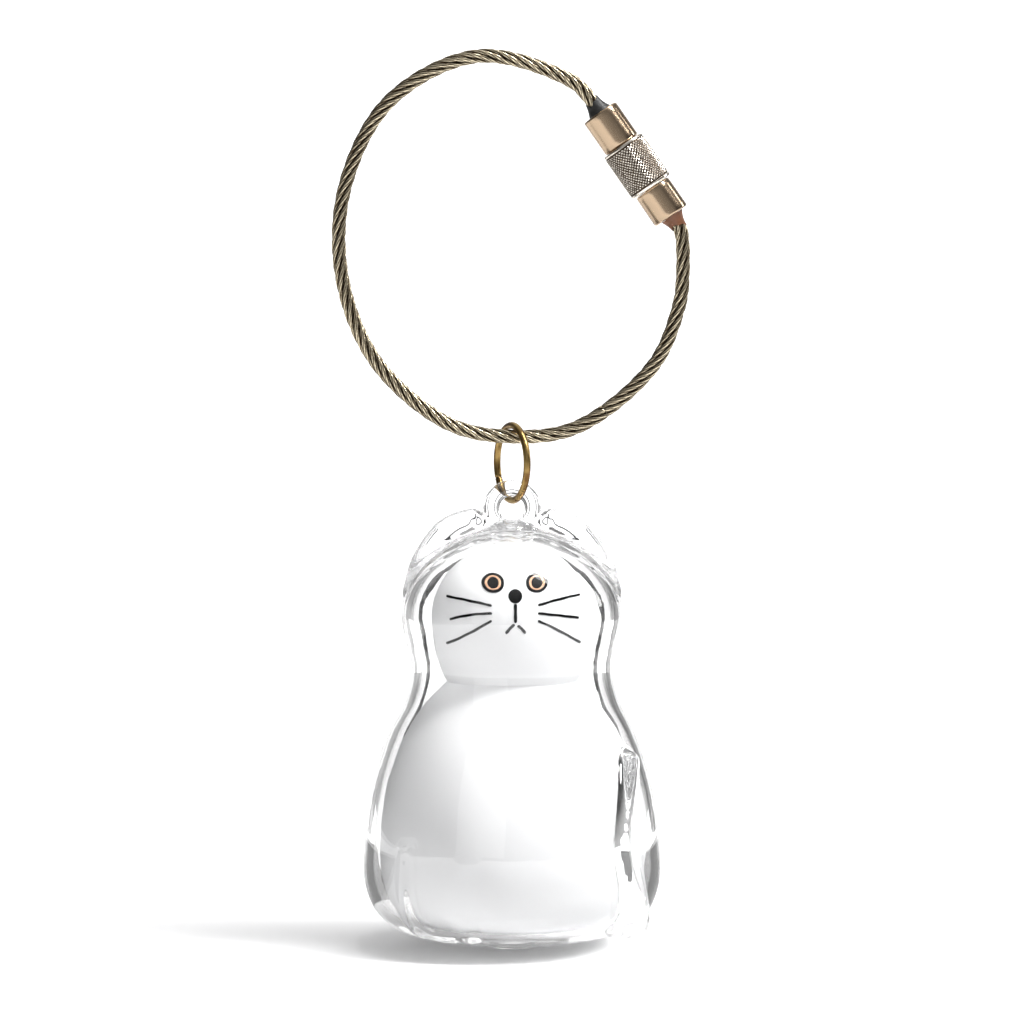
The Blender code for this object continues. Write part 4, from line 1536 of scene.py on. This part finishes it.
@dataclass(frozen=True)
class GlassBody:
    """The fused clear glass: shell, base disc, ears, tail, paws and hanging eye, round one hollow."""

    shape: CharmShape
    eye_radius: float = 2.92 * MM
    eye_tube: float = 1.16 * MM
    eye_sink: float = 0.12 * MM
    weld: tuple = (3.2 * MM, 2.6 * MM, 1.1 * MM)
    spigot: float = 3.0 * MM
    fillet: float = 0.9 * MM
    disc_melt: float = 0.35 * MM
    ear_melt: float = 0.5 * MM
    weld_melt: float = 0.6 * MM
    eye_melt: float = 0.45 * MM
    disc_edge: float = 0.45 * MM
    post_height: float = 1.6 * MM
    post_edge: float = 0.3 * MM
    post_foot: float = 0.1 * MM
    table_step: float = 0.06 * MM
    tail_route: tuple = (
        (60, 0.880, 0.445),
        (56, 0.900, 0.400),
        (48, 0.950, 0.250),
        (54, 0.930, 0.130),
        (62, 0.860, 0.062),
    )
    tail_radii: tuple = (1.7 * MM, 2.1 * MM, 2.3 * MM, 2.6 * MM, 3.2 * MM)
    outer_paw: tuple = ((-45.5, 0.966, 0.250), (-46.0, 0.925, 0.110), (-45.0, 0.820, 0.048))
    inner_paw: tuple = ((-17.4, 0.966, 0.225), (-17.6, 0.925, 0.110), (-19.0, 0.815, 0.046))
    paw_radii: tuple = (0.9 * MM, 1.25 * MM, 1.2 * MM)
    ear_flap: tuple = (
        (5.6, -0.2, 1.1),
        (8.0, -0.4, 0.2),
        (10.6, -0.5, -2.0),
        (12.9, -0.4, -5.0),
        (14.4, 0.0, -8.8),
    )
    ear_flap_radii: tuple = (1.75 * MM, 2.1 * MM, 1.0 * MM)
    ear_lobe: tuple = ((3.6, 0.2, -0.1), (4.2, 0.1, 0.9))
    ear_lobe_radii: tuple = (1.05 * MM, 1.15 * MM)
    ear_fold: tuple = (
        (5.0, 2.0, 1.2),
        (5.3, 2.3, -0.4),
        (7.6, 2.9, -2.4),
        (10.4, 2.9, -4.6),
        (13.0, 2.4, -8.0),
    )
    ear_fold_radius: float = 0.62 * MM
    ear_reach: float = 14 * MM

    def limb(self, route: tuple, radii: tuple) -> tuple[Points, Points]:
        """A limb's stops, close together on a smooth curve, and their radii."""
        stops = even_curve([self.shape.around(*stop) for stop in route], 18)
        return stops, np.interp(np.linspace(0, 1, 18), np.linspace(0, 1, len(radii)), radii)

    def on_dome(self, stops: tuple, count: int = 14) -> Points:
        """A smooth line through places given in millimetres from the dome's top."""
        return even_curve(np.array(stops) * MM + (0.0, 0.0, self.shape.top()), count)

    def ear(self, points: Points) -> Points:
        """The distance from the right ear, a flap and a lobe with a fold on its front and back.

        Args:
            points: where the distance is wanted.

        Returns:
            The distance at each point, negative inside.
        """
        sizes = np.interp(np.linspace(0, 1, 14), (0, 0.3, 1), self.ear_flap_radii)
        found = rod(points, self.on_dome(self.ear_flap), sizes)
        lobe = rod(points, self.on_dome(self.ear_lobe, 2), np.array(self.ear_lobe_radii))
        found = melt(found, lobe, self.ear_melt)
        for side in (-1, 1):
            fold = self.on_dome([(x, side * y, z) for x, y, z in self.ear_fold])
            found = carve(found, rod(points, fold, np.full(14, self.ear_fold_radius)), self.ear_melt)
        return found

    def distance(self, points: Points, shell: TurnedField, disc: TurnedField) -> Points:
        """The distance from the whole glass's outside.

        Args:
            points: where the distance is wanted.
            shell: the blown shell's field.
            disc: the base disc's field.

        Returns:
            The distance at each point, negative inside.
        """
        shape = self.shape
        found = melt(shell(points), disc(points), self.disc_melt)
        mirrored = points * np.array((-1.0, 1.0, 1.0))
        for own in (points, mirrored):
            upper = own[:, 2] > shape.top() - self.ear_reach
            found[upper] = melt(found[upper], self.ear(own[upper]), self.fillet)
        limbs = [(paw, self.paw_radii) for paw in (self.outer_paw, self.inner_paw)]
        for route, radii in [(self.tail_route, self.tail_radii)] + limbs:
            stops, sizes = self.limb(route, radii)
            reach = 4 * MM
            box = (points > stops.min(0) - reach).all(1) & (points < stops.max(0) + reach).all(1)
            found[box] = melt(found[box], rod(points[box], stops, sizes), self.fillet)
        eye_middle = np.array((0.0, 0.0, shape.top() - self.eye_sink + self.eye_radius))
        eye = facing_ring(points, eye_middle, self.eye_radius, self.eye_tube)
        lump = ellipsoid(points, np.array((0.0, 0.0, shape.top())), np.array(self.weld))
        return melt(melt(found, lump, self.weld_melt), eye, self.eye_melt)

    def disc_outline(self) -> Points:
        """The base disc and its neck, from the neck's top to the base plane."""
        shape, edge = self.shape, self.disc_edge
        wide, thick = shape.plug_radius, shape.plug_thickness
        turns = np.linspace(math.pi / 2, -math.pi / 2, 9)
        arc = [(wide - edge + edge * math.cos(turn), edge * (1 + math.sin(turn))) for turn in turns]
        arc = [(r, z + (thick - 2 * edge) * (i < 5)) for i, (r, z) in enumerate(arc)]
        top = shape.floor() + shape.wall
        neck = [(0.0, top), (self.spigot, top), (self.spigot, thick)]
        return np.array(neck + arc + [(0.0, 0.0)])

    def hollow_profile(self) -> Points:
        """The hollow's outline, with the spigot standing in its floor."""
        outline = self.shape.outline(400)
        along = unit(np.gradient(outline, axis=0))
        moved = outline + self.shape.wall * np.column_stack([along[:, 1], -along[:, 0]])
        moved[0] = (0.0, outline[0, 1] - self.shape.wall)
        floor = self.shape.floor() + self.shape.wall
        top = self.shape.figure_floor() + self.post_height
        foot = [(self.spigot + self.post_foot, floor), (self.spigot, floor + self.post_foot)]
        post = [(self.spigot, top - self.post_edge), (self.spigot - self.post_edge, top), (0.0, top)]
        return np.vstack([moved, foot, post])

    def build(self) -> bpy.types.Object:
        """The glass, its hollow turned so that its faces point into the air inside."""
        shape = self.shape
        shell = TurnedField(np.vstack([shape.outline(260), (0.0, shape.floor())]), self.table_step, 5 * MM)
        disc = TurnedField(self.disc_outline(), self.table_step, 24 * MM)
        low = np.array((-22.5, -22.5, -1.0)) * MM
        high = np.array((22.5, 22.5, 68.0)) * MM
        skin = SkinOfField(lambda points: self.distance(points, shell, disc), low, high)
        points, faces = skin.build()
        hollow = turned(self.hollow_profile(), 160)
        faces += [[corner + len(points) for corner in face[::-1]] for face in hollow.faces]
        sculpt = Sculpt(shape.world(np.vstack([points, hollow.points])), faces)
        piece = sculpt.piece("glass_body", CLEAR, 180)
        piece.visible_shadow = False
        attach(piece, Body.CHARM.value)
        nodes = ("outer_shell", "base_plug", "hang_loop", "left_ear", "right_ear", "tail")
        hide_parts(*nodes, "outer_front_paw", "inner_front_paw")
        return piece


@dataclass(frozen=True)
class InnerFigure:
    """The opal glass cat inside the shell: a blown head on a blown body, with a crease at the neck."""

    shape: CharmShape
    wall: float = 1.2 * MM
    mouth: float = 3.2 * MM
    segments: int = 192

    def build(self) -> bpy.types.Object:
        """The figure, open at the bottom for the base disc's spigot."""
        outline = self.shape.figure_outline()
        along = unit(np.gradient(outline, axis=0))
        inner = (outline + self.wall * np.column_stack([along[:, 1], -along[:, 0]]))[::4]
        inner[0] = (0.0, outline[0, 1] - self.wall)
        floor = self.shape.figure_floor()
        outline, inner = outline[outline[:, 0] > 0.02 * MM], inner[inner[:, 0] > 0.02 * MM]
        lip = [(self.mouth, floor), (self.mouth, floor + self.wall)]
        profile = np.vstack([outline, lip, inner[::-1]])
        rows = turned(profile, self.segments, closed=True)
        rows.points = self.shape.world(rows.points)
        piece = rows.piece("figure", OPAL, 24)
        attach(piece, Body.CHARM.value)
        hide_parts("inner_figure")
        return piece


@dataclass(frozen=True)
class Face:
    """The enamel face on the figure's head. Places are shares of the head's radius, from its middle."""

    shape: CharmShape
    sink: float = 0.02 * MM
    gap: float = 0.03 * MM
    height: float = 0.08 * MM
    seam: float = 0.02 * MM
    eye_place: tuple = (0.261, 0.476)
    eye_outline: tuple = (0.133, 0.112)
    eye_ring: tuple = (0.095, 0.081)
    eye_pupil: tuple = (0.066, 0.064)
    nose_place: tuple = (0.0, 0.326)
    nose_radius: float = 0.082
    strokes: dict = field(
        default_factory=lambda: {
            "philtrum": ((0.0, 0.238), (0.0, 0.016), 0.0, 0.038),
            "mouth_left": ((-0.010, 0.000), (-0.116, -0.112), 0.008, 0.034),
            "mouth_right": ((0.024, -0.016), (0.120, -0.108), 0.008, 0.034),
            "left_whisker_upper": ((-0.280, 0.216), (-0.812, 0.302), 0.006, 0.030),
            "left_whisker_middle": ((-0.278, 0.124), (-0.774, 0.033), 0.022, 0.030),
            "left_whisker_lower": ((-0.282, 0.042), (-0.812, -0.259), -0.010, 0.030),
            "right_whisker_upper": ((0.270, 0.218), (0.800, 0.317), 0.012, 0.030),
            "right_whisker_middle": ((0.268, 0.124), (0.776, 0.046), 0.006, 0.030),
            "right_whisker_lower": ((0.268, 0.038), (0.799, -0.253), 0.014, 0.030),
        }
    )

    def on_head(self, across: Points, up: Points, proud: Points) -> Points:
        """Points over the head's front.

        Args:
            across: to the right, in shares of the head's radius.
            up: up from the head's middle, in the same shares.
            proud: how far the points stand off the head, in metres.

        Returns:
            Points over the charm's base.
        """
        radius = self.shape.head_radius()
        x, z = across * radius, up * radius
        reach = self.shape.head_reach(z > 0)
        level = radius * np.sqrt(1 - (z / reach) ** 2)
        y = -np.sqrt(level**2 - x**2)
        normal = unit(np.stack([x / radius**2, y / radius**2, z / reach**2], -1))
        place = np.stack([x, y, z], -1) + proud[..., None] * normal
        cosine, sine = math.cos(self.shape.face_turn), math.sin(self.shape.face_turn)
        turn = np.array(((cosine, sine, 0.0), (-sine, cosine, 0.0), (0.0, 0.0, 1.0)))
        return place @ turn + np.array((0.0, 0.0, self.shape.head_middle()))

    def dress(self, points: Points, faces: list, name: str, finish: Finish, node: str) -> bpy.types.Object:
        """Sets a piece of enamel in the world, on the charm.

        Args:
            points: its points, over the charm's base.
            faces: its faces.
            name: the object's name.
            finish: its finish.
            node: the solid it stands for.

        Returns:
            The piece.
        """
        piece = Sculpt(self.shape.world(points), faces).piece(name, finish, 60)
        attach(piece, Body.CHARM.value)
        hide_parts(node)
        return piece

    def spot(
        self, name: str, place: tuple, outer: tuple, inner: tuple, finish: Finish, node: str
    ) -> bpy.types.Object:
        """A round of enamel with an eased edge, holed if the inner size isn't zero.

        Args:
            name: the object's name.
            place: its middle.
            outer: its half width and half height.
            inner: its hole's half width and half height.
            finish: its finish.
            node: the solid it stands for.

        Returns:
            The round.
        """
        sides = 72
        turns = np.linspace(0, FULL_TURN, sides, endpoint=False)[None, :]
        holed = inner[0] > 0
        start = 0.0 if holed else 0.04
        shares = start + (1 - start) * (1 - np.cos(np.linspace(0, math.pi, 17))) / 2
        edge = 2 * shares - 1 if holed else shares
        crown = self.gap + self.height * np.sqrt(np.clip(1 - np.abs(edge) ** 3, 0, 1))
        wobble = 1 + 0.012 * np.sin(3 * turns + 7 * place[0]) + 0.008 * np.sin(5 * turns + 3 * place[0])
        rows = []
        levels = [np.full(1, -self.sink), crown, np.full(1, -self.sink)]
        spans = [shares[:1], shares, shares[-1:]]
        for share, level in zip(np.concatenate(spans), np.concatenate(levels)):
            size = [inner[k] + share * (outer[k] - inner[k]) for k in (0, 1)]
            across = place[0] + size[0] * np.cos(turns) * wobble
            up = place[1] + size[1] * np.sin(turns) * wobble
            rows.append(self.on_head(across, up, np.full_like(turns, level))[0])
        rows = np.stack(rows)
        if holed:
            faces = skin_faces(len(rows), sides, rows_close=True).tolist()
            return self.dress(rows.reshape(-1, 3), faces, name, finish, node)
        skin = capped(rows)
        return self.dress(skin.points, skin.faces, name, finish, node)

    def stroke(
        self, name: str, start: tuple, end: tuple, bow: float, width: float, node: str
    ) -> bpy.types.Object:
        """A brushed line of enamel with rounded ends and a width that wavers a little.

        Args:
            name: the object's name.
            start: its first end.
            end: its last end.
            bow: how far its middle bows up.
            width: its width.
            node: the solid it stands for.

        Returns:
            The line.
        """
        start, end = np.array(start), np.array(end)
        run = end - start
        length = float(np.hypot(*run))
        side = np.array((-run[1], run[0])) / length
        half = width / 2
        shares = (1 - np.cos(np.linspace(0, math.pi, 44))) / 2
        from_end = np.minimum(shares, 1 - shares) * length
        reach = half * np.sqrt(1 - np.clip(1 - from_end / half, 0, 0.96) ** 2)
        phase = 20 * start[0] + 9 * end[1]
        reach = reach * (1 + 0.06 * np.sin(11 * shares + phase) + 0.03 * np.sin(29 * shares + 2 * phase))
        middle = start + shares[:, None] * run
        middle[:, 1] += 4 * bow * shares * (1 - shares) + 0.0015 * np.sin(17 * shares + phase)
        turns = np.linspace(0, math.pi, 11)
        across = np.concatenate([[-1.0], -np.cos(turns), [1.0]])
        proud = np.concatenate([[-self.sink], self.gap + self.height * np.sin(turns) ** 0.7, [-self.sink]])
        thick = (reach / reach.max())[:, None] * np.where(proud > 0, proud, 0) + np.where(proud > 0, 0, proud)
        places = middle[:, None] + reach[:, None, None] * across[None, :, None] * side
        rows = self.on_head(places[..., 0], places[..., 1], thick)
        skin = capped(rows)
        return self.dress(skin.points, skin.faces, name, BLACK, node)

    def build(self) -> list[bpy.types.Object]:
        """Eyes, nose, mouth and whiskers."""
        none = (0.0, 0.0)
        gap = self.seam / self.shape.head_radius()
        made = []
        for side, way in (("left", -1), ("right", 1)):
            place = (way * self.eye_place[0], self.eye_place[1])
            hole = tuple(size + gap for size in self.eye_ring)
            core = tuple(size + gap for size in self.eye_pupil)
            eye = side + "_eye"
            made.append(self.spot(eye + "_line", place, self.eye_outline, hole, BLACK, eye + "_outline"))
            made.append(self.spot(eye + "_iris", place, self.eye_ring, core, TAN, eye + "_ring"))
            made.append(self.spot(eye + "_dot", place, self.eye_pupil, none, BLACK, eye + "_pupil"))
        size = (self.nose_radius, self.nose_radius)
        made.append(self.spot("nose_dot", self.nose_place, size, none, BLACK, "nose"))
        for node, (start, end, bow, width) in self.strokes.items():
            made.append(self.stroke(node + "_line", start, end, bow, width, node))
        return made


# ---------------------------------------------------------------------------
# Studio


@dataclass(frozen=True)
class Lamp:
    """A soft box."""

    name: str
    place: tuple[float, float, float]
    aim: tuple[float, float, float]
    size: tuple[float, float]
    power: float

    def build(self) -> bpy.types.Object:
        """The lamp, turned to what it lights."""
        data = bpy.data.lights.new(self.name, "AREA")
        data.shape = "RECTANGLE"
        data.size, data.size_y = self.size
        data.energy = self.power
        lamp = add_object(self.name, data)
        lamp.location = self.place
        lamp.rotation_euler = (Vector(self.aim) - Vector(self.place)).to_track_quat("-Z", "Y").to_euler()
        return lamp


def show_card(name: str, rows: Points, shade: float) -> bpy.types.Object:
    """A card that the camera doesn't see, and that casts no shadow and no light on matt things.

    Args:
        name: the object's name.
        rows: its points, in rows.
        shade: its tone.

    Returns:
        The card.
    """
    mesh = bpy.data.meshes.new(name)
    faces = skin_faces(rows.shape[0], rows.shape[1], columns_close=False).tolist()
    mesh.from_pydata(rows.reshape(-1, 3).tolist(), [], faces)
    mesh.materials.append(Card(name, shade=shade).material())
    made = add_object(name, mesh)
    made.visible_camera = made.visible_diffuse = made.visible_shadow = False
    return made


@dataclass(frozen=True)
class Arch:
    """A card arch behind the charm, seen in the glass only, which draws the glass's edges."""

    name: str
    inner: float
    outer: float
    shade: float
    sides: tuple[float, float] = (0.0, 180.0)
    back: float = 0.15

    def build(self, floor: float, spring: float) -> bpy.types.Object:
        """The arch.

        Args:
            floor: the height that its legs stand on.
            spring: the height at which its legs turn into the round.

        Returns:
            The card.
        """
        first, last = np.radians(self.sides)
        turns = np.linspace(first, last, 48)
        line = [(math.cos(turn), math.sin(turn), False) for turn in turns]
        if self.sides[0] == 0.0:
            line.insert(0, (1.0, 0.0, True))
        if self.sides[1] == 180.0:
            line.append((-1.0, 0.0, True))
        rows = [
            [(reach * x, self.back, floor if foot else spring + reach * z) for x, z, foot in line]
            for reach in (self.inner, self.outer)
        ]
        return show_card(self.name, np.swapaxes(rows, 0, 1), self.shade)


@dataclass(frozen=True)
class Studio:
    """White paper sweep, soft boxes, and dark cards that draw the glass's edges."""

    floor: float
    aim: tuple[float, float, float] = (0.0, 0.0, -0.0625)
    lens: float = 135.0
    distance: float = 0.5408
    elevation: float = math.radians(3.0)
    bounces: int = 200
    sweep_width: float = 0.62
    sweep_front: float = -0.45
    sweep_back: float = 0.50
    sweep_rise: float = 0.9
    sweep_bend: float = 0.25
    arch_spring: float = 30 * MM
    ground_reach: tuple[float, float] = (30 * MM, 150 * MM)
    ground_lift: float = 0.5 * MM
    ground_shade: float = 0.25

    def camera(self) -> None:
        """The camera, square on to the cat."""
        data = bpy.data.cameras.new("camera")
        data.lens = self.lens
        camera = add_object("camera", data)
        away = Vector((0.0, -math.cos(self.elevation), math.sin(self.elevation)))
        camera.location = Vector(self.aim) + self.distance * away
        camera.rotation_euler = (-away).to_track_quat("-Z", "Y").to_euler()
        scene = bpy.context.scene
        scene.camera = camera
        scene.view_settings.view_transform = "Standard"
        cycles = scene.cycles
        cycles.max_bounces = cycles.transmission_bounces = cycles.glossy_bounces = self.bounces

    def sweep(self) -> None:
        """The paper under and behind the charm."""
        line = [(self.sweep_front, self.floor)]
        for turn in np.linspace(0, math.pi / 2, 24):
            back, up = self.sweep_bend * math.sin(turn), self.sweep_bend * (1 - math.cos(turn))
            line.append((self.sweep_back + back, self.floor + up))
        line.append((self.sweep_back + self.sweep_bend, self.floor + self.sweep_rise))
        half = self.sweep_width / 2
        points = [(side, y, z) for y, z in line for side in (-half, half)]
        mesh = bpy.data.meshes.new("paper_sweep")
        mesh.from_pydata(points, [], skin_faces(len(line), 2, columns_close=False)[:, ::-1].tolist())
        mesh.shade_smooth()
        mesh.materials.append(FLOOR.material())
        add_object("paper_sweep", mesh)

    def ground_card(self, name: str, first: float, last: float) -> None:
        """A grey card on the paper behind the charm, seen in the glass only, which draws its lower edges.

        Args:
            name: the card's name.
            first: the bearing in degrees of one end, counted from X towards Y.
            last: the bearing of the other end.
        """
        turns = np.radians(np.linspace(first, last, 24))
        arc = np.column_stack([np.cos(turns), np.sin(turns), np.zeros_like(turns)])
        lift = np.array((0.0, 0.0, self.floor + self.ground_lift))
        show_card(name, np.stack([arc * reach for reach in self.ground_reach]) + lift, self.ground_shade)

    def world(self) -> None:
        """A bright room with dark sides."""
        world = bpy.data.worlds.new("room")
        world.use_nodes = True
        graph = Graph(world.node_tree)
        direction = graph.node("ShaderNodeTexCoord").out("Generated")
        split = graph.node("ShaderNodeSeparateXYZ", {}, {"Vector": direction})
        side = split.out("X").abs()
        up = split.out("Z")
        front = (split.out("Y") * -1.0).above(0.65, 0.50)
        dark = side.above(0.62, 0.30) * up.above(0.02, 0.16)
        low = 1.0 - up.above(0.25, 0.50)
        level = (1.0 - dark) * (low * 0.34 + 0.30) + up.above(0.75, 0.30) * 0.25 - front * 0.12 + 0.06
        background = graph.node("ShaderNodeBackground", {}, {"Strength": level})
        output = graph.node("ShaderNodeOutputWorld")
        world.node_tree.links.new(background.node.outputs["Background"], output.node.inputs["Surface"])
        bpy.context.scene.world = world

    def build(self) -> None:
        """Camera, paper, room and lamps."""
        self.camera()
        self.sweep()
        self.world()
        Lamp("key", (0.24, -0.08, 0.42), (0.0, 0.0, -0.10), (0.08, 0.40), 3.8).build()
        fill = Lamp("fill", (-0.34, -0.72, 0.12), (0.0, 0.0, -0.08), (0.60, 0.50), 1.0).build()
        fill.visible_glossy = False
        rim = Lamp("rim", (0.50, 0.16, 0.16), (0.0, 0.0, 0.0), (0.06, 0.30), 0.6).build()
        rim.visible_diffuse = False
        spring = self.floor + self.arch_spring
        Arch("outline_card", 43 * MM, 52 * MM, 0.03).build(self.floor, spring)
        Arch("band_card_right", 82 * MM, 124 * MM, 0.16, (0.0, 90.0)).build(self.floor, spring)
        Arch("band_card_left", 82 * MM, 112 * MM, 0.34, (90.0, 180.0)).build(self.floor, spring)
        self.ground_card("ground_card_right", 6.0, 62.0)
        self.ground_card("ground_card_left", 118.0, 174.0)


def main() -> None:
    """Builds the studio, then the key loop, the ring and the charm from the top down."""
    logging.basicConfig(level=logging.INFO, format="%(message)s")
    route = LoopRoute()
    curve, _ = route.measured()
    low = curve[curve[:, 2] < -route.loop_radius]
    rope_bottom = float(low[np.argmin(np.abs(low[:, 0])), 2])
    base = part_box("base_plug")[0].z
    shape = CharmShape(base)
    Studio(base).build()
    log.info("studio ready, base at %.4f m", base)
    WireRope(route).build()
    Clasp(route).build()
    JumpRing(rope_bottom, route.rope_radius).build()
    log.info("key loop ready")
    GlassBody(shape).build()
    InnerFigure(shape).build()
    Face(shape).build()
    log.info("charm ready")


if __name__ == "__main__":
    main()
